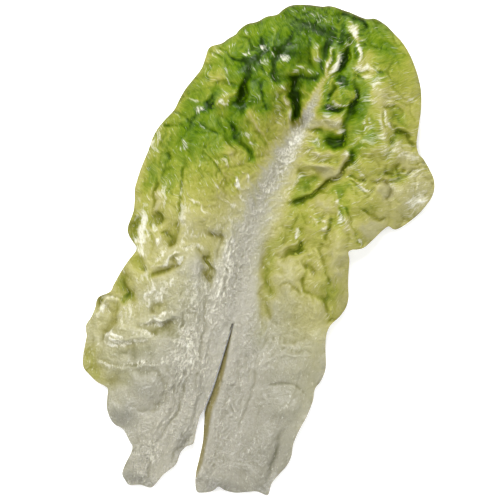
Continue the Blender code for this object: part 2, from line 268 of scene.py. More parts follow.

# Broad blisters and hollows: across, along, half length, half width, turn in degrees from the x
# axis, rise, how much greener. The green deepens in hollows and pales on blisters, partly the
# tissue's own tone and partly painted shade and painted light.
SWELLINGS = (
    # the tip, left of the midrib
    (-1.2, 74.4, 10, 3.4, 106, -6.5, 30), (0.6, 67.4, 5, 2.4, 100, -3, 24),
    (-9, 100.5, 7, 6, 70, 3.0, 4), (-10.5, 91.5, 5.5, 4, 20, 2.6, 0),
    (-22, 92.5, 5.5, 4.6, 20, 2.6, 0), (-24, 103, 6, 4, 100, 2.2, 0),
    (-16.5, 103, 6, 3, 95, 1.2, 0), (-21, 86.5, 4, 3, 60, 1.6, -3),
    (-38.5, 92, 5, 3.4, 60, 1.6, -4), (-33, 80, 5, 4.2, 10, 2, 0), (-31, 90, 4, 3, 140, 1.8, 0),
    (-35.2, 67.2, 5.4, 4.4, 75, 4.2, -18), (-29, 70.5, 6.4, 2.5, 88, -5, 26),
    (-22, 73, 5.5, 4.6, 0, 1.8, 3), (-14, 69, 5, 4, 30, 1.2, 2), (-4.3, 89, 5.4, 3, 8, 3, -8),
    (-10.5, 79.5, 4, 2.6, 20, 2.2, -10), (-6.6, 73.5, 3.2, 1.9, 110, 1.6, -14),
    (-3, 67, 4, 1.4, 112, 1.3, -14), (0.6, 99, 6.5, 1.9, 104, 2.2, -8),
    (-42, 78, 6, 4, 110, 1.5, -3), (-25, 62, 8, 5, 160, 1.6, 0), (-9.5, 62, 7, 4, 140, 1.0, -8),
    (-41.5, 63, 4, 2, 100, -2.2, 14), (-48, 70, 8, 4.5, 115, 1.2, -4),
    (-16, 77.5, 8, 3, 128, 1.6, -4), (-6, 83.5, 5.5, 1.9, 115, -2.6, 14),
    (5.2, 104, 8, 2, 92, -2, 8),
    # the tip, right of the midrib
    (14.6, 99.5, 6, 2.2, 84, -5, 24), (14, 107.2, 4.6, 2.4, 72, -1.6, 6),
    (18, 84, 4.6, 4.4, 40, 2.8, -2), (17, 70.5, 7, 4.2, 5, 2.6, -16),
    (24.8, 80, 8.5, 2, 94, -3.6, 22), (24, 68, 8, 1.9, 96, -2.6, 18),
    (21.6, 60.8, 5.4, 3.6, 30, -6, 34), (14, 61.8, 8, 1.7, 8, -1.2, 8),
    (15.6, 77, 5.6, 1.4, 8, -2.6, 26), (12.7, 83, 3.8, 1.1, 74, -2.2, 26),
    (11, 97, 7.5, 1.6, 82, 1.8, -34), (16.6, 113.6, 5.4, 2.3, 148, 2.4, -22),
    (33, 91, 9, 6, 95, 2.4, -10), (46, 101, 9, 6, 130, 2, 0), (34, 107, 5, 3.6, 60, 1.4, 8),
    (43, 80.5, 5.6, 3, 12, -1.6, 8), (41, 74, 8, 4, 110, 1.6, -6),
    (52.5, 72, 7, 2.2, 158, -2.2, 10), (55, 84, 8, 4, 95, 1, 0), (35, 63, 7, 5, 20, 1.6, -4),
    (48, 64, 7, 3.4, 150, 1.6, -5), (28, 116, 5, 3, 150, 1.4, 4), (11.6, 106.5, 3.4, 3, 60, 0.8, 0),
    (19, 92, 5, 3.2, 80, 1.4, 4),
    # the right lobe and the middle right
    (27.8, 55, 3, 2, 80, 1.8, -16), (35, 52.5, 4.4, 3.6, 30, 1.8, -4),
    (41, 50.5, 4, 3.6, 0, 1.4, 4), (48, 45, 4.4, 3.4, 40, 2.2, -6),
    (51.5, 54, 5, 2.8, 50, -2.6, 12), (60, 45, 8, 6, 70, 2, -2), (64, 37, 5, 4, 60, -1, 6),
    (38, 36, 8, 4, 20, 1.4, 2), (50, 38, 7, 4, 150, 1.4, 0), (45, 24.5, 7, 5, 50, 1.8, 4),
    (36, 24, 6, 2.6, 125, 2, -10), (16, 39, 9, 5, 28, -3.6, 16), (9, 42, 3, 2.6, 100, -1.6, 12),
    (14, 47.5, 8, 2, 8, 1.8, -8), (16, 54.5, 8, 2.4, 8, 1.6, -8), (24, 30, 6, 4, 20, 2, -4),
    (20, 19, 6.5, 4.6, 100, 2.6, -2), (25.6, 21, 4.4, 1.8, 80, 1.4, -6),
    (34, 8, 13, 4.6, 97, 2.8, -3), (15.6, 6, 6, 2.7, 50, -3.4, 18), (9.4, 15, 9, 1.5, 80, -1.4, 8),
    (23.6, -0.6, 4, 1.7, 155, -2.2, 12), (15, -8, 8.4, 5.2, 102, 3.0, -8),
    (18.6, -20.5, 7.6, 6.4, 100, 3.0, -8), (5.6, -13, 12, 2.3, 98, -2.2, 14),
    (29.4, -8, 4, 3.4, 60, 2, -3), (32, -19, 7, 4, 110, 1.6, -4), (38.6, -12, 8, 3.4, 112, 1.6, -4),
    (41.2, -22, 3, 1.6, 60, -1.2, 12), (38, -33, 6, 4, 80, 1.2, -2), (25, -48, 13, 7, 20, 2.0, 0),
    (30, -68, 11, 5.4, 175, 1.4, 0), (22, -36, 9, 2, 20, -1.2, 5), (14, -62, 16, 5, 92, 0.9, 0),
    (26, -92, 16, 4.6, 88, 1.0, 0), (14, -98, 12, 5, 95, 0.8, 0),
    # the left side below the middle
    (-62, -4.4, 5.6, 2.5, 98, -4.2, 12), (-55, -19.6, 4.6, 2.8, 145, -2.6, 16),
    (-58, -32.5, 8, 3.6, 112, -4, 18), (-68, -41.4, 3.6, 1.6, 62, -3, 14),
    (-44, -2.4, 6, 4.2, 115, -4.6, 14), (-53, 2.8, 4.2, 2.6, 20, -3.8, 6),
    (-42, -19.5, 9, 2, 46, -2.8, 16), (-22.6, -13.4, 7, 2.4, 108, -4, 24),
    (-22.5, 2.6, 6, 2, 160, -1.6, 6), (-40.6, -37, 4.4, 2.4, 60, -2, 8),
    (-36.5, -46.6, 9, 4.2, 20, -3.6, 7), (-62, -51, 8.4, 3.2, 80, -3.2, 10),
    (-46, -62, 9, 4, 8, -2.2, 2), (-62, -75, 6, 3.6, 30, -1.8, 4), (-52, -77, 6, 4, 60, -1.6, 3),
    (-30, -18, 9, 6, 110, 2.6, -5), (-42, -11, 6, 2, 48, 1.6, -12), (-50.5, -12, 6, 4, 80, 1.4, -4),
    (-47, -30, 8, 5, 80, 2, -5), (-38, -42, 8, 1.9, 28, 1.6, -5), (-52, -52, 8, 3.6, 10, 1.6, -3),
    (-56, -58, 6, 3, 5, 2, -4), (-36, -77, 9, 7, 10, 1.8, 0), (-45, -90, 8, 6, 10, 1.2, 0),
    (-22, -95, 14, 6, 70, 1.0, 0), (-30, -112, 9, 5, 100, 0.8, 0), (-66, -60, 8, 3, 100, 0.8, 0),
    (-24, -30, 8, 6, 90, 1.2, 0),
    # the left middle panel
    (-30, 52, 8, 3, 135, -1.6, 6), (-20.5, 48, 7, 2, 132, -1.2, 4),
    (-26.5, 38.5, 8, 5, 140, 1.4, -4), (-28, 24, 9, 5, 150, 1.4, -2),
    (-15, 30.5, 6, 4, 140, 1.2, -5), (-42, 34, 12, 3, 100, 1, 0), (-55.5, 33, 8, 2.6, 96, -1.8, 8),
    (-61.5, 38, 12, 2.4, 94, 1.4, -12), (-47.5, 55, 5, 2.4, 60, -1.8, 8),
    (-53.6, 13, 6, 3, 80, 1.6, -12), (-60, 12, 7, 2.4, 95, 0.8, -4),
    (-56.6, 13, 8, 1.4, 100, -1.2, 6), (-37, 6, 8, 4, 110, 1.8, -3), (-28, 10, 8, 4, 160, 1.2, -3),
    (-45, 45, 4, 5, 0, 1, -2),
)

# Folds and grooves: rise, width to the left and to the right of the path, how much greener, and
# the points of the path. Grooves are greener and ridges paler, partly the tissue's own tone and
# partly painted shade and painted light.
FOLDS = (
    # the curled rim of the tip
    (-2.2, 2.6, 2.0, 12, (-23, 111), (-15, 112.6), (-6, 111.6), (2, 111.8), (8, 113.5)),
    (-1.8, 1.4, 1.6, 18, (5, 122), (11, 121.6), (17, 120.6), (22, 118.4)),
    (1.0, 1.2, 1.0, -3, (2, 121.4), (10, 121.6), (20, 120.6), (26, 120.8)),
    (-0.8, 0.7, 0.7, 10, (-15, 118), (-12, 115), (-8, 117), (-5, 120)),
    (-0.6, 0.6, 0.6, 8, (-3, 112), (-2, 117), (1, 121)),
    (-0.6, 0.6, 0.6, 8, (7.5, 121.5), (7.8, 115), (7.2, 108)),
    # veins and creases of the tip, left
    (0.8, 0.6, 0.9, -26, (-20.6, 107), (-20.4, 101), (-19.3, 97.2), (-18.2, 96)),
    (-1.6, 0.8, 1.6, 20, (-21, 96), (-18.4, 96.4), (-15.6, 94.8), (-15.8, 92.4), (-17, 88),
     (-16.6, 84.4), (-14.4, 81)),
    (-1.5, 1.0, 1.4, 16, (-12.6, 107), (-12.6, 101), (-14.6, 96.6), (-16, 93)),
    (0.7, 0.5, 0.5, -20, (-17, 110.2), (-14.6, 109.2), (-12.8, 107.6)),
    (-1.1, 0.6, 0.9, 18, (-49.2, 87.6), (-46, 86.4), (-43, 85.2), (-41.6, 84.2)),
    (-1.3, 0.6, 1.0, 16, (-46, 90), (-41, 89.2), (-38.6, 88), (-35, 86.8), (-31.4, 86.2),
     (-28.4, 84.8)),
    (-1.0, 0.6, 1.2, 12, (-37, 98.4), (-32, 97), (-29.4, 94.8), (-26, 92.2)),
    (-0.6, 0.6, 0.8, 8, (-40, 95.4), (-35.4, 94.4), (-33.6, 92.6)),
    (-2.4, 1.4, 1.6, 20, (-28.4, 86), (-28, 81), (-28, 76), (-28.4, 70), (-30, 65)),
    (-1.4, 0.7, 1.6, 14, (-44, 72.4), (-39, 75), (-35, 74.8), (-30.6, 74.4)),
    (-1.2, 1.0, 1.0, 14, (-46.4, 61), (-43, 64.4), (-40.8, 67.6), (-40.4, 63.6), (-41.4, 60)),
    (0.5, 0.5, 0.5, -16, (-52.6, 63.6), (-49.6, 62.6), (-46.4, 63.2), (-45, 60.6)),
    (-1.0, 0.9, 0.9, 12, (-21.6, 80), (-20, 75.6), (-17.4, 71), (-14, 66.4)),
    (0.8, 1.0, 1.0, -8, (-12.6, 80), (-9.4, 74.6), (-5.6, 70), (-2, 65.6)),
    (-1.0, 0.7, 0.9, 12, (-26.6, 101), (-25.6, 97), (-22.6, 93.6)),
    (-1.0, 0.9, 0.9, 10, (-27.4, 90.4), (-24.6, 88.6), (-22, 85.2), (-20.6, 82.2)),
    (-0.9, 0.8, 0.8, 10, (-9.8, 87), (-7, 85.6), (-3.4, 86.2), (1, 86.8), (5, 87.6)),
    (-0.8, 0.8, 0.8, 8, (-36.6, 84), (-38.8, 80.4), (-37, 76.6), (-34.6, 75.6)),
    (0.5, 0.5, 0.5, -12, (-36.6, 84.2), (-38.2, 80.4), (-36.6, 77)),
    (0.6, 0.6, 0.6, -12, (-45.4, 81.4), (-44.4, 77.4), (-43.6, 73)),
    (-0.6, 0.6, 0.6, 8, (-46.6, 82), (-45.8, 77.6), (-45, 73)),
    (-0.9, 0.8, 0.8, 10, (2.2, 103), (2.6, 98), (5, 93), (6.6, 90)),
    (-0.9, 0.9, 0.9, 8, (-6.6, 107.4), (-3.4, 104.4), (-1.8, 99), (-0.8, 95), (1.6, 91)),
    (0.6, 0.6, 0.6, -16, (-8.4, 107.4), (-6.4, 106.6), (-5, 105.6)),
    # the fork of the midrib and what lies right of it
    (1.0, 0.8, 0.8, -30, (7.8, 105), (7.4, 99), (7.2, 94), (8, 88)),
    (-1.0, 0.6, 0.8, 10, (9.4, 104), (8.8, 98), (8.8, 93), (9.6, 89)),
    (1.4, 0.9, 0.7, -30, (19, 111.6), (20.2, 107.6), (21.4, 104), (22.8, 101)),
    (-1.4, 0.8, 1.2, 16, (18.6, 107), (19.4, 104), (21, 101.4)),
    (-1.0, 0.6, 0.9, 12, (19.6, 110.4), (21.6, 110.2), (23.4, 108.8)),
    (-1.2, 0.6, 1.0, 22, (20.6, 94.4), (22.4, 93.4), (24.6, 93.4), (26.8, 92.8)),
    (0.9, 0.5, 0.7, -22, (20.8, 91.2), (22.2, 92.6), (24.4, 92.4)),
    (-0.8, 0.6, 0.8, 10, (20.8, 97.4), (23.4, 95.4), (27.4, 96.4)),
    (0.6, 0.5, 0.5, -12, (21, 98.8), (24, 97.4), (27.6, 98)),
    (-1.0, 0.6, 0.8, 16, (29.4, 100.4), (31, 98.8), (33, 98.8), (34.8, 97.2)),
    (1.2, 0.6, 0.9, -26, (14.8, 80), (16.6, 79.4), (18.8, 78.4), (21.4, 79), (22.8, 81.6),
     (23.4, 85.4)),
    (-1.0, 0.7, 0.9, 12, (15.4, 92), (15.6, 88.6), (16.6, 86)),
    (-1.0, 0.7, 1.2, 12, (36, 81.6), (39.6, 83), (43.6, 84), (47.8, 83.4), (48.4, 80)),
    (-0.7, 0.5, 0.8, 8, (42, 86), (46, 87), (50, 86.6)),
    (0.8, 0.6, 0.6, -14, (36.6, 80.6), (38, 76.4), (40.4, 72.6), (42.6, 69.4)),
    (-0.9, 0.6, 0.6, 8, (37.8, 80.6), (39.4, 76.6), (41.6, 73)),
    (0.7, 0.6, 0.6, -12, (40.4, 79.4), (42.4, 76), (45.4, 73.4)),
    (-0.8, 0.6, 0.6, 9, (43.4, 77.4), (45.4, 75.6), (47.6, 75.8)),
    (0.5, 0.4, 0.4, -12, (34, 79.6), (32.6, 75.6), (31, 70.8)),
    (0.5, 0.4, 0.4, -12, (32.4, 79.4), (31.4, 75.8), (30.2, 72)),
    (-1.3, 1.2, 0.8, 10, (45.6, 71.6), (49, 73.2), (52.6, 73.2), (56, 70.4), (59.4, 67)),
    (-0.6, 0.6, 0.6, 6, (42.6, 71), (45.6, 69.6), (48, 68)),
    (0.6, 0.6, 0.6, -8, (51, 70), (51.6, 66.6), (53.6, 64.6), (58, 65.6)),
    (-0.9, 1.0, 0.8, 8, (3.4, 61.6), (8, 62.2), (12, 62.9), (17, 64.4)),
    (0.7, 0.5, 0.5, -14, (6, 59.6), (10, 60.4), (14.4, 60.2)),
    (-0.6, 0.5, 0.5, 8, (6, 56.6), (10, 58.4), (15, 58.8)),
    (-0.6, 0.5, 0.6, 8, (6.6, 52), (10, 53), (14, 55), (19, 55.8)),
    (-0.6, 0.6, 0.6, 8, (6, 48), (12, 48.4), (18, 50.4), (23, 50.4)),
    (-0.7, 0.5, 0.5, 8, (30, 60), (34, 61.6), (38, 61)),
    (0.6, 0.4, 0.6, -12, (39, 62), (38.4, 58.6), (37.8, 55.4)),
    # the valley that the right side of the blade overhangs
    (-4.6, 2.4, 1.0, 26, (30, 60), (29.8, 56), (28.6, 52.6), (27.4, 49), (26.6, 46), (23.4, 42.2),
     (20.4, 37.6), (17.2, 33.4), (13, 30), (9, 27.2), (5.6, 25.8)),
    (1.2, 1.6, 2.6, -4, (31.4, 53), (29.6, 48.4), (27, 43.6), (23.4, 38.6), (19.6, 33.4),
     (14.6, 29)),
    (0.6, 0.4, 0.5, -16, (22.4, 42), (24, 43.4), (25.8, 44.4)),
    (-1.1, 0.6, 0.7, 14, (30, 45.9), (33, 46.4), (36.6, 46.4), (39.6, 45.9)),
    (0.8, 0.5, 0.5, -16, (31, 45), (34.4, 44.9), (38, 43.2), (41.6, 41.4), (44.4, 41)),
    (-0.7, 0.4, 0.5, 10, (31, 44), (34.6, 43.9), (38, 42.2), (41.6, 40.3)),
    (0.5, 0.5, 0.5, -12, (31.6, 43.4), (34, 41.8), (36.6, 39.6)),
    (-0.9, 0.6, 0.9, 9, (44.6, 46.2), (47, 47.6), (50.4, 48), (52.2, 45.6), (52, 42.6),
     (49.6, 40.8)),
    (-1.4, 0.8, 1.4, 14, (40.4, 47), (44.6, 46.8), (47.6, 48.6), (52, 49.4), (56, 53), (60, 57),
     (65, 59)),
    (-1.0, 0.8, 0.8, 12, (46.8, 56.6), (47.6, 53), (49.6, 50.8)),
    (0.6, 0.5, 0.5, -6, (50.6, 56), (51.8, 53), (54, 50.6)),
    (-0.9, 0.7, 0.7, 10, (56.4, 57), (54.6, 54.6), (53, 52)),
    (-0.7, 0.5, 0.5, 8, (57, 60), (60, 59.4), (62.4, 61), (65.4, 61.4)),
    (-1.0, 0.7, 0.9, 8, (63.6, 62.6), (66, 60.4), (68.6, 57.8)),
    (-1.1, 1.2, 1.4, 22, (40.6, 34), (43.4, 33.4), (46.4, 31.8), (51, 31.2), (54.6, 31.6)),
    (0.7, 0.6, 0.6, -12, (41, 33), (43.6, 32.2), (46, 30.6)),
    (-1.0, 0.8, 0.8, 12, (30.6, 30.8), (33.6, 30.8), (35.6, 28.6), (38, 25), (40.6, 21), (42, 18)),
    (-0.9, 0.8, 0.8, 10, (41, 17.6), (44, 17), (46.6, 17.2)),
    (1.2, 0.6, 0.6, -24, (26.2, 37.4), (28.4, 33.6), (29.6, 29), (30.6, 25.4), (31.8, 22.6)),
    (0.7, 0.6, 0.6, -12, (31.6, 27), (34.4, 25), (37.6, 21.4)),
    (-0.7, 0.5, 0.6, 8, (33, 26.6), (36.4, 24), (38.8, 20), (36.6, 18.4)),
    (-0.8, 0.6, 0.6, 8, (16, 34.6), (20, 36), (25, 35.6)),
    (-0.6, 0.6, 0.6, 6, (14, 27), (20, 27.6), (26, 28.6)),
    (0.9, 0.5, 0.7, -20, (16.8, 23.4), (19.4, 23), (21.6, 21), (22.8, 18.8)),
    (0.7, 0.5, 0.5, -20, (24, 22.6), (26, 23.2), (27, 21.2)),
    (0.7, 0.6, 0.5, -18, (24.2, 18.4), (26.2, 19), (27.4, 18)),
    (-1.3, 0.8, 1.0, 14, (27.2, 26), (28.6, 22), (28.4, 17.6), (27, 13.4)),
    (-1.2, 0.9, 0.9, 10, (26.6, 15), (26.8, 9), (28.8, 4.4), (31.4, 1), (33.6, -3), (36.6, -6.6),
     (38.6, -11)),
    (1.0, 0.5, 0.5, -26, (13.8, 16), (14, 13.6), (14.6, 12)),
    (-0.9, 0.7, 0.9, 10, (7, 7), (10, 9), (11, 13.6), (11.8, 19), (13.4, 25)),
    (-0.7, 0.6, 0.6, 8, (5, 8), (7, 13), (7.6, 19), (9.6, 24)),
    (-1.4, 1.4, 0.6, 16, (7, 0.8), (11, 1.8), (15, 3.2), (17.8, 6), (17.6, 9.6), (15.4, 12.4)),
    (0.8, 0.5, 0.5, -18, (19, 2), (19.8, 0), (21.4, -2)),
    (0.6, 0.5, 0.5, -18, (21.6, 2.8), (23.4, 2.8), (27, 3.4)),
    (-1.2, 0.9, 0.9, 30, (20.4, 0.6), (22.4, -2.6), (23, -7), (24.6, -11.4), (28.4, -13.4),
     (30, -18)),
    (-1.2, 1.3, 1.2, 34, (28, -11.6), (31, -13.6), (34.4, -13.2), (36, -15), (38, -19),
     (41.4, -23)),
    (-0.9, 0.9, 0.9, 24, (33, -3), (35.6, -7.6), (35.6, -13)),
    (-0.9, 0.9, 0.9, 20, (37, 0.4), (38.2, -5), (39.2, -10)),
    (-1.2, 0.7, 0.7, 14, (11.6, -15), (13.6, -12.4), (16.4, -11.4), (20.6, -12.2), (24.4, -14.4)),
    (-1.0, 1.0, 0.9, 10, (8, -20), (9.6, -25), (12.6, -29), (17, -31)),
    (-0.7, 0.7, 0.7, 6, (17, -40.4), (22, -38.4), (27, -36.2), (33, -33)),
    (-0.7, 0.8, 0.8, 6, (19, -40.4), (26, -40.8), (32, -40), (38.6, -40)),
    (-0.8, 0.8, 0.8, 3, (19, -60.4), (25, -58.4), (32, -57.2), (38, -59), (40.6, -60.6)),
    (-0.8, 1.6, 1.2, 2, (31.6, -78), (32.2, -88), (31.4, -98), (30.4, -108)),
    (0.4, 0.7, 0.7, -10, (39, -17), (41, -17.6), (43, -16.6)),
    # the ear, the hollows and the ridges of the lower left
    (-1.6, 2.4, 0.6, 14, (-62, -11), (-60, -8.6), (-59.4, -4.6), (-60.2, -0.6), (-61.4, 3)),
    (-1.4, 2.4, 0.6, 14, (-52.8, -23), (-51.6, -21), (-53.4, -17.6), (-57, -15.6)),
    (-1.4, 2.6, 0.6, 12, (-56, -40), (-54.2, -37.4), (-53.4, -33), (-55, -29), (-58, -25)),
    (-1.0, 0.6, 0.6, 14, (-60.6, -28), (-58, -31.4), (-56.2, -34.4), (-56.2, -38.6)),
    (-0.7, 0.5, 0.5, 10, (-63.4, -32), (-61, -33), (-59.4, -34.4)),
    (-0.6, 0.5, 0.5, 10, (-63.6, -36), (-60.6, -35.6), (-58.4, -36.8)),
    (-1.0, 0.6, 0.8, 12, (-69, -41.4), (-66.4, -39.4), (-62, -38.6), (-57, -40), (-54, -41.4)),
    (-0.8, 0.7, 0.7, 12, (-56, -40.4), (-53.6, -38.6), (-52, -40.6), (-50.4, -39)),
    (0.9, 0.7, 0.8, -12, (-68, -44), (-64, -40.8), (-59.6, -41.2), (-57.6, -43.6)),
    (-1.4, 2.4, 0.6, 14, (-46, -9), (-42, -7.4), (-40.2, -3.6), (-40.8, 0.6), (-43, 4)),
    (-1.0, 0.7, 0.7, 16, (-49.4, -3), (-46.8, -1.4), (-44.6, -2.6), (-42.4, -2.4)),
    (1.1, 0.6, 0.6, -20, (-56.4, 1), (-54, -2), (-51.4, -4.6), (-49.4, -8), (-47.4, -9.6)),
    (-1.0, 0.7, 0.7, 14, (-55.6, -2.6), (-52.4, -6), (-50.4, -9), (-50.2, -13), (-51.6, -16.4)),
    (0.7, 0.6, 0.6, -14, (-52, -1.6), (-50, -3), (-48.4, -5.6), (-47.6, -8.4)),
    (-2.0, 0.5, 2.6, 8, (-55.8, 6.4), (-52.4, 6.2), (-50.2, 4.2), (-50.4, 1.6), (-52.6, -0.2)),
    (-0.9, 0.7, 0.7, 12, (-48.4, -11.4), (-47.4, -14.6), (-48, -18.4)),
    (1.5, 0.6, 0.7, -16, (-47.4, -20), (-44, -16.6), (-41, -13), (-38, -10), (-35.4, -8.6)),
    (-1.4, 0.7, 1.2, 14, (-48.4, -26.4), (-46, -22.4), (-43, -20.4), (-40, -16.6), (-38.4, -12.4),
     (-36.6, -10.4)),
    (1.0, 0.5, 0.6, -14, (-38.4, -16), (-37.2, -13), (-35.6, -10.8)),
    (-1.0, 0.6, 0.6, 14, (-39.6, -17), (-37.2, -15.4), (-35.6, -12.4), (-34, -10.6)),
    (-1.2, 0.6, 1.0, 14, (-31, -4.6), (-28, -6.6), (-25, -9.4), (-23.4, -9.4)),
    (-1.6, 2.2, 0.6, 12, (-21.6, -19.6), (-19.4, -17), (-18.9, -13), (-20, -9.6), (-21, -6)),
    (-0.9, 1.2, 0.6, 8, (-18.6, -2), (-18.6, 0.6), (-21.4, 3), (-26, 4.4)),
    (0.5, 0.5, 0.5, -8, (-38, 2), (-37.6, -2), (-36.4, -4.6), (-33, -5)),
    (-1.2, 0.7, 1.0, 7, (-43.6, -38.6), (-41, -40.6), (-38.4, -39.8), (-37, -37), (-38.4, -34)),
    (1.6, 0.7, 1.0, -5, (-45.4, -46.6), (-41.6, -45), (-37.6, -43.4), (-33.4, -41.4), (-31, -38.4)),
    (0.8, 0.5, 0.5, -8, (-43, -46.6), (-39, -44.8), (-35, -42.6)),
    (-1.4, 2.4, 0.6, 5, (-38, -52.4), (-31, -51), (-27.4, -47.4), (-27, -43.4), (-28.6, -39.4)),
    (-0.9, 0.8, 1.4, 4, (-49, -47), (-45, -49.6), (-41, -49.8), (-37, -48.4)),
    (-1.6, 2.4, 0.6, 9, (-64, -63), (-61.4, -58), (-59.4, -54), (-58.6, -49), (-58.8, -44),
     (-60, -41)),
    (1.2, 0.8, 1.0, -8, (-62.2, -55.4), (-61.6, -57.4), (-58.6, -58.2), (-53, -57.4),
     (-49.6, -55.6), (-45.6, -54.4), (-40, -53.6)),
    (1.0, 0.9, 0.9, -6, (-60, -57), (-57.6, -55.8), (-54.6, -56.2), (-53.4, -58), (-56, -59)),
    (-0.7, 0.5, 0.5, 3, (-58.4, -57.4), (-56.4, -57), (-55.2, -58)),
    (-0.9, 0.9, 1.8, 3, (-60, -60.4), (-54, -59.8), (-49, -58.2), (-44, -56.8), (-39, -55.8)),
    (-0.9, 1.2, 0.7, 4, (-63, -68.6), (-57, -69.4), (-51, -69.6), (-45, -68), (-38, -64.8),
     (-33, -63.6)),
    (0.7, 0.6, 0.9, -3, (-50, -70.8), (-45, -69.4), (-38, -66.2), (-32, -64.8)),
    (-0.6, 0.7, 0.7, 4, (-69, -57), (-66.6, -64), (-66.4, -70)),
    (-0.7, 0.7, 0.7, 2, (-14.4, -109), (-14, -103), (-11, -97), (-9.6, -91)),
    # long ridges and grooves of the base, and the groove around its mound
    (-1.2, 1.4, 2.0, 2, (-47, -66), (-41, -69.4), (-34, -68.6), (-28.4, -72), (-26.6, -78),
     (-28.6, -84), (-35, -88.4)),
    (1.2, 1.1, 1.1, 0, (-30, -60), (-25.4, -70), (-23, -80), (-25, -90), (-28, -101)),
    (-1.0, 1.0, 1.0, 0, (-21, -62), (-18.4, -76), (-20, -90), (-23, -102)),
    (0.9, 0.8, 0.8, 0, (-14.6, -38), (-13, -56), (-12, -72), (-12, -92)),
    (-0.9, 0.8, 0.8, 0, (-18.4, -28), (-16.4, -46), (-16, -60)),
    (0.8, 0.7, 0.7, 0, (5.6, -42), (8.6, -54), (8.8, -66), (7, -80)),
    (-0.8, 0.7, 0.7, 0, (9.6, -44), (12.8, -56), (13, -70), (11, -86)),
    (1.0, 1.0, 1.0, 0, (14, -52), (22, -45), (33, -42)),
    (1.0, 0.7, 0.7, 0, (-17.4, 14), (-16, 2), (-15, -12), (-13, -28)),
    (-0.9, 0.7, 0.7, 3, (-20.6, 10), (-19.6, -2), (-17.8, -14)),
    (0.8, 0.6, 0.6, 0, (-27, -18), (-23.4, -30), (-20, -42)),
    (0.7, 0.8, 0.8, 0, (-34, -92), (-32, -104), (-30, -118)),
    (-0.7, 0.8, 0.8, 0, (-27, -96), (-25, -108), (-24, -119)),
    # the left middle panel
    (0.6, 0.5, 0.5, -9, (-40, 42.4), (-35, 38.6), (-29.6, 34.8), (-22, 28.4), (-14.6, 21.6)),
    (-0.6, 0.7, 0.7, 6, (-39, 40.4), (-34, 36.6), (-28.4, 33), (-21, 26.4)),
    (0.6, 0.5, 0.5, -9, (-36.6, 31.4), (-31, 28.4), (-27, 25.6), (-22.6, 22.2)),
    (0.6, 0.5, 0.5, -9, (-34.4, 29.2), (-29, 24.4), (-25, 21), (-18, 18.6), (-12, 14.2)),
    (0.5, 0.5, 0.5, -9, (-44.6, 17.2), (-40, 16.4), (-35, 15.6), (-28, 12)),
    (0.6, 0.5, 0.5, -9, (-28.4, 46.6), (-24.4, 41.4), (-18.4, 35.4), (-12.8, 32)),
    (0.8, 0.6, 0.6, -14, (-23, 63.6), (-18.6, 59.4), (-14, 56), (-8, 50.4)),
    (-0.8, 0.8, 0.8, 9, (-24, 61.4), (-19.4, 57), (-15, 54), (-9.4, 48.6)),
    (0.7, 0.5, 0.5, -14, (-29.6, 38.8), (-27, 38.2), (-25.4, 36.4)),
    (0.7, 0.5, 0.5, -14, (-20.4, 30.4), (-18, 28.8), (-15.8, 26.8)),
    (-1.1, 1.0, 1.0, 9, (-29.6, 55.4), (-25.4, 50.4), (-20, 46.8), (-14.6, 42.6)),
    (-1.0, 0.8, 0.9, 6, (-48, 36.4), (-46, 28), (-45, 20), (-43.2, 12), (-41, 2)),
    (0.7, 0.7, 0.7, -8, (-50.4, 40), (-49, 43), (-46.6, 46.4)),
    (-0.9, 0.8, 0.8, 9, (-61.4, 48), (-57, 48.2), (-52, 49.2)),
    (-0.9, 0.8, 0.8, 8, (-58.4, 22), (-56.6, 14), (-55.6, 8), (-55, 4)),
    (-0.8, 0.7, 0.7, 8, (-44.4, 52.4), (-40, 50.6), (-33, 50.2)),
    (-1.0, 0.8, 0.8, 9, (-56.8, 36), (-54.4, 34.6), (-53.6, 32)),
    (-0.7, 0.7, 0.7, 8, (-36, 58), (-34, 54), (-30, 50.4)),
)

# The torn face of the right flap: along, the split's edge, and the lip that it slopes down from.
TORN_FACE = (
    (-112, -2.6, -1.6), (-105, -2.9, -0.5), (-92, -3.7, -1.3), (-88, -4.5, -1.7), (-84, -5.3, -2.1),
    (-79.4, -6.1, -2.3), (-70, -5.1, -1.5), (-60, -4.6, -1.5), (-50, -4.3, -2.6), (-42, -4.0, -3.2),
    (-36, -3.9, -3.9),
)
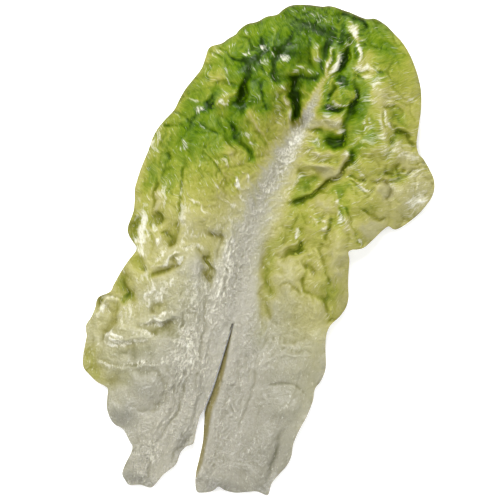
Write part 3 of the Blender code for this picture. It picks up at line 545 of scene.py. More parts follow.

# Where the skin is rough and pale, standing off the moist tissue, and where glare is painted on it
# as a painted highlight: across, along, half length, half width, turn in degrees from the x axis,
# strength in hundredths.
FROST_AND_GLARE = (
    # along the midrib and at the left margin
    (-22, -24, 18, 4, 88, 24), (-66, -66, 6, 3, 60, 22), (-17, 14, 14, 3, 78, 24),
    # the tip, left of the midrib
    (-36.8, 66.5, 3.2, 1.1, 80, 70), (-34.6, 63.8, 2.4, 0.9, 10, 60), (-33, 67, 2.2, 0.9, 75, 60),
    (-35.2, 70, 2, 1.4, 20, 45), (-31, 89.4, 2, 1.5, 30, 70), (-29, 92.2, 1.6, 1, 120, 55),
    (-25, 95.4, 2.6, 1.2, 10, 45), (-21.4, 88.2, 2.6, 1.3, 20, 50), (-24.4, 85.4, 1.6, 1.2, 60, 45),
    (-12, 93, 2.4, 1.6, 160, 65), (-18, 92.6, 1.8, 0.7, 120, 50), (-5, 89.6, 3.2, 1.5, 10, 60),
    (0.5, 90.6, 2.4, 1, 160, 50), (-10.6, 80, 3.2, 1.6, 15, 60), (-6.6, 73.6, 2, 1.4, 120, 60),
    (-3.4, 68.6, 2.6, 1, 120, 50), (0, 101.6, 2.6, 0.8, 95, 50), (2.2, 95.6, 3, 1, 115, 55),
    (-33.4, 100.4, 1.8, 1, 150, 45), (-45, 86, 3, 2.4, 40, 35), (-46.6, 77, 5, 1.4, 100, 35),
    (-38.6, 79, 4, 1.2, 120, 35), (-38.4, 91, 2.6, 1.2, 60, 35), (-46.4, 59, 2.6, 2, 50, 50),
    (-50, 63, 3.4, 0.6, 172, 50), (-11, 118, 1.6, 1.2, 0, 35), (-3, 116.4, 8, 2.8, 5, 28),
    (-14, 76, 8, 1.2, 135, 30), (-20, 69, 7, 1.6, 118, 25), (-8, 66, 6, 1, 125, 30),
    (-18, 80, 3, 1, 30, 30),
    # the tip, right of the midrib
    (16.6, 113.4, 5, 1.9, 146, 98), (20.6, 106, 5.4, 1.1, 112, 85), (22.6, 101, 2.4, 1, 100, 55),
    (11.2, 97, 6.6, 1.6, 78, 98), (13.8, 107.4, 3, 2.2, 60, 32), (7.4, 97, 8, 0.7, 84, 60),
    (24.4, 98, 4.4, 2.6, 30, 50), (28, 95, 3, 3, 0, 40), (32.4, 92, 8, 2.6, 95, 55),
    (31, 84, 4, 2, 150, 50), (18.6, 79.2, 4.6, 0.8, 0, 65), (23.2, 84, 4.4, 0.8, 100, 50),
    (19, 69, 5, 2.6, 5, 55), (21, 73.6, 2, 1.4, 60, 50), (13, 72, 3, 1.6, 100, 45),
    (22.6, 66.6, 2.4, 1.4, 20, 50), (16, 86, 2, 1.6, 60, 40), (39, 78.6, 4.6, 0.9, 118, 55),
    (43, 76, 4.4, 0.9, 130, 50), (38, 73.4, 5, 1, 110, 45), (33, 75, 5, 0.6, 105, 35),
    (30.6, 74, 5, 0.6, 105, 35), (40, 68.6, 6, 3, 160, 40), (44.6, 64, 6, 2.6, 130, 40),
    (53, 67, 5, 2, 30, 50), (57, 63, 5, 3, 0, 40), (45, 88, 10, 3, 15, 28), (35, 88, 7, 2, 30, 35),
    (36, 66, 6, 3, 90, 35), (30, 65, 4, 2, 90, 30), (12, 90, 5, 0.8, 75, 40),
    (9.8, 84, 4, 0.8, 80, 40), (2, 53, 14, 3.8, 72, 52), (-4, 30, 12, 3, 78, 22),
    (65, 47, 9, 5, 100, 62), (51, 64, 6, 4, 140, 35),
    # the right lobe and the middle right
    (27.4, 56.6, 2, 1.6, 60, 60), (25, 43.8, 2.4, 0.7, 40, 55), (34.5, 45, 4.6, 0.6, 175, 50),
    (40, 42.4, 4.6, 0.6, 165, 50), (36, 49, 3.6, 0.8, 150, 45), (33, 53, 4, 3, 60, 30),
    (62, 54, 7, 5, 50, 35), (66, 50, 5, 3, 60, 35), (55, 47, 5, 3, 140, 30),
    (46, 50, 4, 1.2, 60, 35), (29, 33.6, 4, 0.7, 130, 50), (31.4, 25.6, 4, 0.9, 118, 50),
    (35.6, 23, 4, 1.2, 140, 35), (20, 22.6, 3, 0.8, 155, 50), (26, 22.8, 2.6, 0.7, 170, 45),
    (26, 19, 2, 0.9, 60, 50), (14.2, 14, 2.6, 0.7, 100, 65), (43, 18, 2.6, 0.7, 0, 45),
    (13, 52, 8, 3, 5, 30), (10, 58, 7, 1.2, 5, 35), (7, 36, 8, 1.4, 60, 35),
    (26, 2.6, 2.6, 0.7, 160, 45),
    # the left middle panel
    (-33, 37.2, 3, 0.45, 138, 70), (-28.2, 26, 2.8, 0.5, 140, 75), (-26, 23, 3, 0.45, 135, 60),
    (-16, 34, 2.6, 0.5, 145, 70), (-18.6, 29.6, 2.6, 0.9, 125, 60),
    (-16.4, 23.6, 2.8, 0.6, 140, 70), (-19, 19.4, 5.4, 0.6, 165, 60), (-36, 15.8, 5, 0.5, 170, 55),
    (-31, 13, 4, 0.5, 150, 45), (-27.6, 38.4, 2.2, 1.1, 150, 45), (-45, 20, 4, 0.5, 100, 50),
    (-52.4, 15, 8, 2.4, 100, 50), (-40.6, 9, 7, 3.2, 100, 42), (-61, 4, 4, 2, 60, 40),
    (-62, 38, 10, 2, 94, 40), (-48.6, 41.6, 4.6, 1, 68, 45), (-41.6, 50.4, 2.4, 0.8, 150, 45),
    (-21, 52, 3, 1.2, 170, 45), (-16.6, 48.6, 3, 1, 20, 40),
    # the lower left
    (-57.8, -0.6, 6, 1.8, 118, 88), (-55.6, -7.6, 6, 3, 110, 95), (-56, -13, 3.4, 2, 150, 75),
    (-48.6, -7, 3, 0.9, 110, 80), (-47, -14, 5, 1.4, 60, 60), (-42.6, -14.4, 7.4, 0.8, 47, 90),
    (-36.8, -12.8, 3.4, 0.8, 55, 80), (-34, -6, 6, 2, 10, 50), (-36.6, -3, 4, 1, 80, 50),
    (-51, -27, 5, 3, 80, 40), (-47, -34, 7, 3, 75, 60), (-40, -29, 8, 2.4, 70, 50),
    (-66, -46, 4, 2.6, 60, 75), (-54, -46, 6, 3, 80, 55), (-39.5, -43.6, 6.4, 1.1, 30, 80),
    (-36, -39.5, 3, 1, 30, 60), (-23, -30, 12, 6, 100, 34), (-14, -14, 24, 4, 92, 30),
    (-20, 6, 10, 4, 100, 26), (-33, 2, 5, 2.4, 0, 45), (-59, -9, 3, 2, 60, 60),
    (-24, -14, 7, 2, 108, 30), (-22, -50, 22, 7, 92, 34), (-52, -59, 7, 1.2, 10, 50),
    (-42, -66.4, 8, 1.8, 16, 42), (-56, -70, 6, 1.6, 0, 40), (-63.6, -39.6, 4, 1.2, 0, 60),
    (-51, -2.4, 5, 0.9, 135, 85), (-38, -45, 6, 1.8, 25, 60), (-26, -106, 8, 6, 100, 25),
    (-60, -57, 3.6, 0.9, 60, 80), (-56.6, -56, 3, 0.9, 170, 75), (-57.4, -58.6, 1.6, 0.8, 0, 60),
    (-58, -61, 4, 0.6, 175, 60), (-46, -56.4, 5, 0.8, 12, 70), (-44, -52, 7, 1.6, 10, 45),
    (-31, -62, 1.6, 1.2, 60, 70), (-32, -59, 1.4, 1, 0, 60), (18, 68.4, 6, 2, -8, 42),
    (33, 88, 6, 2.6, 100, 30), (14, 78, 4, 1.4, 20, 30),
)

# How steeply the veins climb: along the leaf, and the rise for each step away from the midrib.
VEIN_CLIMB = ((-125, 9.0), (-60, 6.0), (-25, 3.0), (5, 1.4), (40, 0.9), (80, 0.8), (125, 1.2))

# Wrinkles that run along the veins: spacing, length and share of each set.
STREAKS = ((1.0, 2.6, 0.5), (1.9, 6.0, 0.7), (4.2, 15.0, 0.6), (8.0, 30.0, 0.5))

# Small domed cells of the blade: spacing, rise, and the share of them that is left at the base.
QUILTS = ((8.5, 0.8, 0.25), (4.0, 0.36, 0.4))

# Waves of the margin: how many go around it, how far and how often they bunch up, their rise, and
# how far in they fade.
RUFFLES = ((17, 2.0, 3, 1.6, 7.0), (71, 3.0, 11, 0.4, 2.0))

# How soft edges stray from a plain oval or path: width of the waves, and how far they shift it.
WANDER = ((1.6, 0.7), (4.0, 0.5))

# Broad patches of tone, partly the tissue's own and partly painted shade and painted light: across,
# along, half length, half width, turn in degrees from the x axis, how much greener, and how much
# darker, in hundredths.
TONES = (
    # the base
    (-30, -121, 9, 4, 0, 0, 30), (-29, -121, 10, 4, 0, 0, 22), (8, -115, 10, 3, 10, 0, 14),
    (8, -115, 8, 3, 20, 0, 18), (6, -112, 10, 4, 0, 0, 10), (14, -112, 18, 3, 0, 0, 16),
    (30, -110, 6, 4, 0, 0, 6), (30, -109, 6, 4, 95, 0, 22), (-26, -106, 8, 5, 100, -2, -16),
    (-12, -103, 9, 3, 92, 0, 16), (24, -100, 12, 8, 90, 0, 10), (-42, -99, 6, 3, 30, 0, 18),
    (-12, -97, 9, 3, 92, 0, 18), (32, -95, 18, 2.4, 92, 0, 16), (-12, -94, 8, 3, 92, 0, 16),
    (-44, -93, 10, 8, 0, 0, 10), (-45, -92, 9, 5, 20, 0, 16), (-45, -92, 9, 6, 20, 0, 16),
    (16, -92, 24, 16, 90, 0, 5), (-45, -91, 10, 6, 20, 0, 22), (30, -80, 28, 8, 92, 0, 12),
    (-56, -78, 10, 4, 15, 12, 22), (-36, -78, 8, 5, 10, 0, 20), (-37, -76, 7, 4, 10, 0, 14),
    (20, -76, 52, 24, 92, 0, 16), (-65, -73, 10, 5, 130, 20, 22), (-10, -72, 9, 3, 92, 0, 20),
    (-42, -71, 14, 7, 20, 2, 26), (-67, -70, 6, 4, 120, 0, -4), (-61, -69, 8, 4, 0, 6, 24),
    (37, -68, 7, 4, 90, 0, 14), (-20, -67, 9, 6, 95, 0, 16), (-45, -65, 8, 2.2, 16, 0, 12),
    (25, -63, 12, 6, 10, 0, 8), (-48, -62.6, 10, 2.2, 15, 4, 48), (-57, -55, 6, 2.4, 5, 4, 28),
    (-34, -48, 6, 3.4, 20, 4, 20), (-33, -48, 5, 3, 20, 6, 14), (-34, -47, 7, 3.4, 25, 6, 26),
    (-10, -46, 10, 2.4, 92, 0, 14), (8, -44, 10, 5, 60, 0, 12), (30, -43, 10, 4, 5, 0, 14),
    (43, -42, 12, 2.4, 92, -6, -12), (-68.4, -41.4, 4, 1.8, 60, 4, 26),
    # the lower left
    (-56, -38, 4, 3, 30, 12, 8), (-56, -38, 6, 3, 60, 6, 18), (-41, -37.5, 4, 2.4, 50, 5, 20),
    (-56, -37, 5, 3, 80, 8, 8), (-38, -37, 5, 3, 40, 4, 12), (-62, -32, 5, 3, 60, 10, 14),
    (-60, -31, 4, 3, 110, 12, 8), (-58.5, -31, 8, 4, 105, -4, 26), (-45, -31, 9, 7, 0, -7, 0),
    (-25, -30, 9, 6, 90, 0, -8), (-50, -27, 5, 4, 80, 4, 14), (-47, -27, 5, 4, 60, 8, 10),
    (-27, -15, 7, 3, 110, -6, -10), (-32, -14, 8, 6, 60, -6, 0), (-22.6, -14, 7, 2.6, 105, 10, 4),
    (-26, -12, 6, 3, 60, -3, -6), (-50, -9, 6, 5, 0, -6, 0), (-51, -8, 4, 2, 110, 4, 10),
    (-48, -8, 5, 3, 0, 0, 10), (-24, -8, 8, 5, 100, 8, 2), (-62, -3.6, 5, 2.4, 98, 0, 30),
    (-43.5, -3, 5, 3, 100, 2, 24), (-27, 0, 7, 4, 150, 6, 2), (-53, 3, 3.6, 2.4, 10, 0, 26),
    (-34, 3, 9, 5, 160, -6, 0),
    # beside the midrib, below the middle
    (8, -30, 12, 4, 100, 6, 12), (-8, -28, 14, 5, 95, 0, 12), (7, -14, 26, 3.8, 96, 24, 20),
    (-8, 0, 12, 4, 85, 0, 10), (4, 0, 6, 4, 90, 4, 14), (0, 1, 8, 3, 90, 2, 12),
    (0, 4, 9, 3.4, 90, 2, 20), (9, 12, 12, 4, 60, 9, 12),
    # the middle right
    (33, -36, 6, 5, 60, 0, 12), (30, -26, 9, 6, 30, 3, 10), (20, -20, 10, 9, 90, 2, 18),
    (40, -15, 8, 3.4, 100, 14, 0), (38, -10, 7, 3, 60, 10, 12), (25, -9, 6, 4, 60, 5, 0),
    (34, -9, 8, 4.4, 100, 14, 36), (14, 5, 7, 2.4, 42, 5, 0), (39, 8, 12, 2.6, 97, -3, -6),
    (13, 10, 5, 3, 60, 4, 8), (39, 10, 9, 3, 100, -2, -2), (44, 10, 12, 3, 97, 4, 0),
    (15, 11, 4, 3, 90, 4, 0), (38, 13, 11, 3.4, 100, 2, 0), (44, 20, 5, 4, 0, 10, 14),
    (18, 22, 6, 3, 0, 4, 4), (33, 24, 6, 3, 30, 6, 6), (47, 25, 8, 5, 60, -10, 0),
    (50, 25, 6, 5, 60, -8, 0), (33, 28, 5, 3, 60, 16, 12), (24, 30, 6, 5, 60, -14, 0),
    (32, 32, 7, 3, 100, 8, 0),
    # the left middle panel
    (-58, 6, 8, 3, 95, 8, 10), (-48, 7, 5, 4, 90, 6, 10), (-46, 7, 9, 8, 0, -9, -4),
    (-43, 8, 5, 3, 90, 6, 12), (-43, 11, 5, 3, 100, 6, 8), (-57, 12, 9, 3, 100, -12, -8),
    (-52, 21, 8, 4, 95, 10, 10), (-60, 22, 9, 4, 92, 14, 6), (-59, 27, 12, 3, 95, 2, 2),
    (-66, 28, 10, 3, 92, -8, -4), (-35, 30, 8, 6, 140, 4, 8), (-22, 30, 10, 6, 140, -4, 0),
    (-20, 31, 6, 2.4, 90, 14, 0), (-62, 32, 18, 3, 92, 8, 12), (-50, 36, 12, 7, 90, 4, 0),
    (-63, 40, 9, 3.4, 85, 6, 3), (-24, 43, 6, 3, 140, -18, 0), (-15.4, 43.6, 4, 1.6, 140, 22, 6),
    (-45, 46, 9, 7, 60, 14, 0), (-27, 53, 5, 2, 130, 20, 6),
    # the right lobe and its valley
    (10, 30, 9, 4.4, 60, 16, 12), (12, 30, 4, 3, 60, 8, 0), (46, 35, 4, 3, 0, 6, 12),
    (28, 38, 5, 3, 60, 18, 10), (15, 41, 7, 3, 30, 22, 10), (21, 41, 7, 4, 50, -18, 0),
    (18, 44, 8, 3, 20, -16, 0), (18, 45, 6, 2.4, 10, -14, -4), (50, 45, 4, 4, 0, -16, 0),
    (18, 46, 4, 3, 40, -12, 0), (51, 46, 5, 3, 0, -14, -6), (25, 47, 4, 2.4, 70, -8, 0),
    (64, 48, 12, 8, 100, -3, 0), (17, 52, 7, 3, 20, -12, 0), (28, 52, 4, 3, 80, -14, 0),
    (54, 52, 8, 2.4, 0, 12, 8), (55, 52, 5, 3, 30, 6, 12), (33, 55, 5, 3, 90, 12, 6),
    (30, 56, 5, 3, 80, 8, 0), (12, 58, 6, 2.4, 30, 12, 4), (8, 60, 6, 2.4, 10, -12, 0),
    (47, 60, 9, 6, 0, 0, -14), (66, 60, 5, 3, 130, 6, 12), (32, 61, 6, 3, 60, 14, 0),
    (52, 64, 7, 4, 140, -8, 0), (48, 67, 8, 3, 90, 14, 8),
    # the tip, left of the midrib
    (-33, 59, 8, 3, 10, -12, -6), (-52, 60, 4, 4, 0, 10, 0), (-19, 60, 8, 4, 130, -14, 0),
    (-56, 61, 7, 3, 75, -18, 0), (-41, 61, 5, 3, 20, 22, 4), (-20, 61, 6, 4, 140, -12, 0),
    (-37, 63, 3, 3, 0, -14, 0), (-26, 63, 6, 3, 60, 16, 4), (-27, 66, 5, 3.4, 80, 34, 6),
    (5, 66, 4, 3, 0, -14, 0), (6, 66, 8, 3.4, 35, -9, -6), (-10, 67, 6, 3.4, 130, -10, 0),
    (-9, 67, 5, 6, 110, 4, -12), (-15, 68, 4, 3, 60, 16, 0), (-40, 70, 3, 3, 0, 14, 0),
    (-43, 72, 4, 4, 0, -14, 0), (-2, 72, 5, 2.6, 110, 40, 10), (-38, 73, 4.4, 3.4, 20, -8, 0),
    (-11, 75, 4, 3, 110, -7, 0), (-40, 76, 4, 4, 0, -18, 0), (-15, 76, 5, 3, 120, -6, 0),
    (-9, 77, 5, 3, 110, -7, 0), (1, 80, 4, 2, 100, -20, 0), (-4, 81, 4, 3, 120, -16, 0),
    (-49, 83, 6, 3, 95, -14, 0), (-30, 84, 4, 3, 80, 30, 6), (-17, 85, 5, 3, 90, 16, 0),
    (-45, 88, 4, 3, 40, -14, 0), (-8, 88, 8, 3, 10, -10, -8), (-24, 91, 5, 3, 60, 22, 0),
    (-5, 92, 4, 3, 0, -10, 0), (-14, 95, 3, 4, 90, 22, 4), (-24, 97, 4, 3, 90, 8, 0),
    (0, 97, 6, 4, 100, -16, 0), (-32, 98, 5, 3.4, 40, -10, 0), (-1, 99, 6, 5, 0, -6, -24),
    (-20, 108, 5, 4, 30, -10, 0), (-4, 110, 13, 2.4, 2, 14, 18), (-14, 113, 8, 4, 20, -12, 0),
    (-5, 117, 14, 3.4, 4, 0, 12), (0, 119, 9, 3, 0, -6, 4),
    # the tip, right of the midrib
    (9, 65, 6, 2, 10, -24, 0), (11, 65, 6, 3, 20, -12, 0), (27, 65, 6, 3, 90, 10, 6),
    (20, 67, 6, 3, 0, -16, 0), (18, 68, 8, 3.4, 5, -13, 0), (38, 68, 6, 3, 20, 8, 0),
    (35, 70, 9, 3, 95, 18, 2), (17, 73, 7, 4, 20, -8, -6), (50, 73, 9, 8, 0, 6, 4),
    (8, 74, 6, 3, 80, -14, 0), (12, 74, 5, 3, 60, 10, 4), (14, 74, 9, 7, 5, 7, -9),
    (28, 79, 10, 3, 95, 30, 6), (15, 80, 4, 4, 0, -12, 0), (15, 80, 9, 5, 80, 0, -8),
    (46, 80, 7, 3, 170, 12, 0), (15, 86, 6, 4, 60, -16, 0), (13, 88, 5, 2, 90, -30, 0),
    (17, 88, 3, 3, 0, 34, 4), (42, 88, 8, 5, 20, -12, 0), (42, 90, 8, 6, 130, 8, -2),
    (44, 94, 12, 8, 95, 5, 0), (20, 95, 3, 3, 0, -10, 0), (28, 95, 4, 2, 60, -12, 0),
    (32, 96, 5, 3, 60, 20, 0), (23, 97, 4, 3, 60, -16, 0), (40, 98, 8, 5, 130, 0, -10),
    (13, 99, 4, 2, 80, 20, 4), (25.5, 101, 6, 4.4, 100, -30, 0), (14, 107.2, 4.4, 2.4, 72, -14, 26),
    (8, 108, 6, 3, 80, 28, 6), (35, 110, 7, 4, 130, 10, 0), (36, 110, 6, 4, 130, 6, 0),
    (17, 113, 5, 3, 145, -30, 0), (12, 120.6, 8, 2, 175, 2, 4),
)

# Where the skin of the bare parts is most wrinkled: across, along, half length, half width, turn
# in degrees from the x axis, strength in hundredths.
ROUGH = (
    (-23, -62, 34, 11, 96, 100), (-28, -108, 16, 7, 100, 90), (-12, -70, 26, 3.4, 92, 90),
    (4, -84, 32, 4, 92, 75), (6, -50, 16, 4, 95, 70), (-9, -10, 34, 5, 92, 90),
    (-5, 30, 26, 5, 80, 100), (3, 64, 14, 4, 70, 70), (20, -92, 10, 8, 60, 30),
    (-30, -28, 16, 10, 80, 70), (18, -42, 8, 6, 60, 40),
)

# What the mesh carries from the relief for the finish and for the skin's wrinkles.
LAYERS = ("green", "hollow", "wet", "torn", "frost", "skin", "coat", "free", "lane", "onward")


def ramp(values: np.ndarray, start: float, length: float) -> np.ndarray:
    """Rises evenly from 0 to 1.

    Args:
        values: Where on the rise each place is.
        start: The value at which the rise begins.
        length: How far the rise goes on; it falls instead where this is negative.

    Returns:
        Shares from 0 to 1.
    """
    return np.clip((values - start) / length, 0, 1)


class Side(Enum):
    """The two faces of the blade."""

    UPPER = "upper"
    LOWER = "lower"


@dataclass
class Relief:
    """Height, thickness and colour of the leaf on a fine raster, built from what lies where.

    Attributes:
        pitch: Spacing of the raster.
        reach_x: How far the raster runs to each side.
        reach_y: How far it runs towards base and tip.
        blade: Thickness of the blade.
        seed: Seed of the small cells that the blade is quilted with.
        oval_reach: How many half lengths out an oval patch is followed.
        oval_edge: How firm the edge of an oval patch is.
        rise_share: Share of its rise that a swelling shows.
        sink_share: Share of its depth that a hollow shows.
        mound_shading: Share of its green, partly painted shade and light, that a swelling or hollow
            shows.
        fold_reach: How many widths out a fold is followed.
        fold_wander: How far a fold strays with the other soft edges, 0 to 1.
        fold_share: Share of its rise that a fold shows.
        fold_body: How quickly a fold grows from its ends; it is whole over most of its length.
        fold_shading: Share of its green, partly painted shade and light, that a fold shows.
        margin_reach: How far in the margin is looked for.
        band_fray: How far the veins' wrinkles fray the border of the midrib's pale band.
        band_edge: How firm that border is.
        vein_slant: How far forward the wrinkles of a vein lie for each step from the midrib.
        tip_start: Where along the leaf its look is halfway from the base's to the tip's.
        tip_ramp: How gently the one gives way to the other.
        base_veins: Height of the wrinkles along the veins at the base.
        tip_veins: Height of those at the tip.
        torn_depth: How far the torn face slopes down.
        lip_rise: How far the lip beside it stands up.
        lip_width: How wide the lip is.
        thin_edge: Share by which the margin thins to its rim.
        soft_top: Height from which the blade's summits are pressed lower.
        top_room: How far above that they may still reach.
    """

    pitch: float = 0.32
    reach_x: float = 76.0
    reach_y: float = 127.0
    blade: float = 0.8
    seed: int = 5
    oval_reach: float = 2.2
    oval_edge: float = 1.3
    rise_share: float = 0.8
    sink_share: float = 0.6
    mound_shading: float = 0.8
    fold_reach: float = 2.4
    fold_wander: float = 0.6
    fold_share: float = 0.6
    fold_body: float = 6.4
    fold_shading: float = 0.45
    margin_reach: float = 9.0
    band_fray: float = 1.7
    band_edge: float = 2.2
    vein_slant: float = 0.4
    tip_start: float = 12.0
    tip_ramp: float = 14.0
    base_veins: float = 0.33
    tip_veins: float = 0.24
    torn_depth: float = 3.4
    lip_rise: float = 0.5
    lip_width: float = 1.6
    thin_edge: float = 0.6
    soft_top: float = 23.4
    top_room: float = 1.5

    def __post_init__(self) -> None:
        """Lays out the raster."""
        xs = np.arange(-self.reach_x, self.reach_x + self.pitch, self.pitch)
        ys = np.arange(-self.reach_y, self.reach_y + self.pitch, self.pitch)
        self.x, self.y = np.meshgrid(xs, ys)
        self.height = self.cage(HEIGHTS)
        self.bold = self.cage(BOLDNESS) * HUNDREDTH
        self.green = self.cage(GREENS) * HUNDREDTH
        # How far swellings and folds change the green: little on bare tissue.
        self.reply = np.clip(2 * self.green - 0.1, 0.45, 1)
        self.frost = np.zeros(self.x.shape)
        self.wet = np.zeros(self.x.shape)
        self.bent_x = self.x + self.wander(21)
        self.bent_y = self.y + self.wander(23)

    def wander(self, seed: int) -> np.ndarray:
        """How far soft edges stray in one direction.

        Args:
            seed: Seed of the first set of waves; the next sets follow it.

        Returns:
            The raster's shifts.
        """
        waves = enumerate(WANDER, seed)
        return sum(shift * self.noise(width, number) for number, (width, shift) in waves)

    def cage(self, table: tuple[tuple[float, ...], ...]) -> np.ndarray:
        """Spreads a coarse table over the raster with smooth curves through its values.

        Args:
            table: Rows from base to tip.

        Returns:
            The raster's values.
        """
        values = np.array(table, float)
        rows, columns = values.shape
        across, wide = spline_weights(self.x[0] / CAGE_COLUMN + (columns - 1) / 2, columns)
        along, high = spline_weights(self.y[:, 0] / CAGE_ROW + (rows - 1) / 2, rows)
        by_row = (values[along] * high[:, :, None]).sum(axis=0)
        return (by_row[:, across] * wide[None]).sum(axis=1)

    def window(self, low: Point, high: Point) -> tuple[slice, slice]:
        """The part of the raster inside a box.

        Args:
            low: The box's lower left corner.
            high: Its upper right corner.

        Returns:
            Slices of rows and columns.
        """
        spans = []
        for start, end, reach, count in (
            (low[1], high[1], self.reach_y, self.x.shape[0]),
            (low[0], high[0], self.reach_x, self.x.shape[1]),
        ):
            first = max(0, math.floor((start + reach) / self.pitch))
            last = min(count, math.ceil((end + reach) / self.pitch) + 1)
            spans.append(slice(first, max(first, last)))
        return spans[0], spans[1]

    def oval(self, place: tuple[float, ...]) -> tuple[tuple[slice, slice], np.ndarray]:
        """A soft oval patch.

        Args:
            place: Across, along, half length, half width, and turn in degrees.

        Returns:
            The part of the raster that it touches, and its share there.
        """
        across, along, length, width, turn = place
        reach = self.oval_reach * max(length, width)
        part = self.window((across - reach, along - reach), (across + reach, along + reach))
        cosine, sine = math.cos(math.radians(turn)), math.sin(math.radians(turn))
        dx, dy = self.bent_x[part] - across, self.bent_y[part] - along
        lengthwise = (dx * cosine + dy * sine) / length
        widthwise = (dy * cosine - dx * sine) / width
        return part, np.exp(-((lengthwise**2 + widthwise**2) ** self.oval_edge))

    def add_swellings(self) -> None:
        """Raises and sinks soft oval mounds, lays tone patches and pale skin, with painted shade,
        light and glare.
        """
        for *place, rise, greener in SWELLINGS:
            part, mound = self.oval(place)
            share = self.sink_share if rise < 0 else self.rise_share
            self.height[part] += rise * mound * share * self.bold[part]
            # Painted shade in a hollow, painted light on a swelling, partly the tissue's own green.
            self.green[part] += self.mound_shading * greener * HUNDREDTH * mound * self.reply[part]
        # Tone patches, partly the tissue's own and partly painted shade and painted light.
        for *place, greener, shade_darker in TONES:
            part, patch = self.oval(place)
            self.green[part] += greener * HUNDREDTH * patch
            self.wet[part] += shade_darker * HUNDREDTH * patch
        # Pale skin standing off the tissue, and painted glare.
        for *place, strength in FROST_AND_GLARE:
            part, patch = self.oval(place)
            self.frost[part] = np.maximum(self.frost[part], strength * HUNDREDTH * patch)

    def add_folds(self) -> None:
        """Raises and sinks the folds and grooves along their paths."""
        stray = self.fold_wander
        for rise, left, right, greener, *path in FOLDS:
            points = smooth_path(path)
            reach = self.fold_reach * max(left, right)
            part = self.window(tuple(points.min(axis=0) - reach), tuple(points.max(axis=0) + reach))
            x = stray * self.bent_x[part] + (1 - stray) * self.x[part]
            y = stray * self.bent_y[part] + (1 - stray) * self.y[part]
            dx, dy = x[..., None] - points[:, 0], y[..., None] - points[:, 1]
            gaps = np.hypot(dx, dy)
            nearest = gaps.argmin(axis=2)
            heading = np.gradient(points, axis=0)[nearest]
            at = (*np.indices(nearest.shape), nearest)
            side = heading[..., 0] * dy[at] - heading[..., 1] * dx[at]
            away = gaps[at] / np.where(side > 0, left, right)
            share = nearest / (len(points) - 1)
            taper = np.clip(self.fold_body * share * (1 - share), 0, 1) ** 0.8
            lift = self.fold_share * rise * np.exp(-(away**2)) * taper
            self.height[part] += lift * self.bold[part]
            # The green of a fold, painted shade in a groove and painted light on a ridge, partly
            # the tissue's own, reaches a little further than the fold.
            shading_green = self.fold_shading * greener * HUNDREDTH * np.exp(-((away / 1.1) ** 2)) * taper
            self.green[part] += shading_green * self.reply[part]

    def find_margin(self, outline: np.ndarray) -> None:
        """Finds the distance to the margin and the place along it, close to the margin.

        Args:
            outline: Points of the outline, evenly spaced.
        """
        far = 99.0
        self.gap = np.full(self.x.shape, far)
        self.around = np.zeros(self.x.shape)
        reach = self.margin_reach
        for index, (px, py) in enumerate(outline):
            part = self.window((px - reach, py - reach), (px + reach, py + reach))
            gap = np.hypot(self.x[part] - px, self.y[part] - py)
            closer = gap < self.gap[part]
            self.gap[part] = np.where(closer, gap, self.gap[part])
            self.around[part] = np.where(closer, index / len(outline), self.around[part])

    def add_ruffle(self) -> None:
        """Waves the margin gently up and down, except where the midrib stiffens it."""
        angle = math.tau * self.around
        for waves, bunching, bunches, rise, reach in RUFFLES:
            wave = np.sin(waves * angle + bunching * np.sin(bunches * angle))
            self.height += rise * wave * np.exp(-self.gap / reach) * (1 - self.rib)

    def read_midrib(self) -> None:
        """Works out the keel under the blade and the pale band on it."""
        along, across, depth, keel, band = np.array(MIDRIB, float).T
        centre = self.x - np.interp(self.y, along, across)
        self.rib = np.exp(-((centre / np.interp(self.y, along, keel)) ** 2))
        self.keel = np.interp(self.y, along, depth) * self.rib
        reach = np.interp(self.y, along, band)
        fray = self.band_fray * self.streak * np.clip(reach / 6, 0.35, 1)
        frayed = np.abs(centre + 0.5 * (self.bent_x - self.x)) - fray
        self.pale = np.exp(-((np.clip(frayed, 0, None) / reach) ** self.band_edge))

    def noise(self, width: float, seed: int) -> np.ndarray:
        """Smooth random values of about unit size.

        Args:
            width: Size of the lumps.
            seed: Seed of the values.

        Returns:
            The raster's values.
        """
        values = self.blurred(np.random.default_rng(seed).normal(size=self.x.shape), width)
        return values / values.std()

    def lattice_noise(self, u: np.ndarray, v: np.ndarray, seed: int) -> np.ndarray:
        """Smooth random values on a lattice that may be bent and stretched.

        Args:
            u: First lattice coordinate of each place.
            v: Second lattice coordinate.
            seed: Seed of the values.

        Returns:
            Values of about unit size.
        """
        size, spread = 256, 1.5
        table = np.random.default_rng(seed).normal(size=(size, size))
        i, j = np.floor(u).astype(int), np.floor(v).astype(int)
        s, t = u - i, v - j
        s, t = s * s * (3 - 2 * s), t * t * (3 - 2 * t)
        rows = [[table[(i + a) % size, (j + b) % size] for b in (0, 1)] for a in (0, 1)]
        low, high = (row[0] * (1 - t) + row[1] * t for row in rows)
        return spread * (low * (1 - s) + high * s)

    def read_veins(self) -> None:
        """Lays fine wrinkles along the veins, which leave the midrib and climb to the margin."""
        along, across = np.array(MIDRIB, float).T[:2]
        away = self.bent_x - np.interp(self.y, along, across)
        climb_at, climb = np.array(VEIN_CLIMB, float).T
        step, spare = 0.5, 4.0
        heights = np.arange(-self.reach_y - spare, self.reach_y + spare, step)
        run = np.cumsum(step / np.interp(heights, climb_at, climb))
        lane = np.abs(away) - np.interp(self.bent_y, heights, run)
        onward = self.y + self.vein_slant * np.abs(away)
        self.lane, self.onward = lane * MM, onward * MM
        # The right side is read far off, so that it doesn't mirror the left.
        onward = onward + np.where(away > 0, 400.0, 0.0)
        self.streak = np.zeros(self.x.shape)
        for spacing, length, share in STREAKS:
            values = self.lattice_noise(onward / length, lane / spacing, round(10 * spacing))
            self.streak += share * np.clip(1 - 1.6 * np.abs(values), -0.6, 1)
        self.streak -= self.streak.mean()

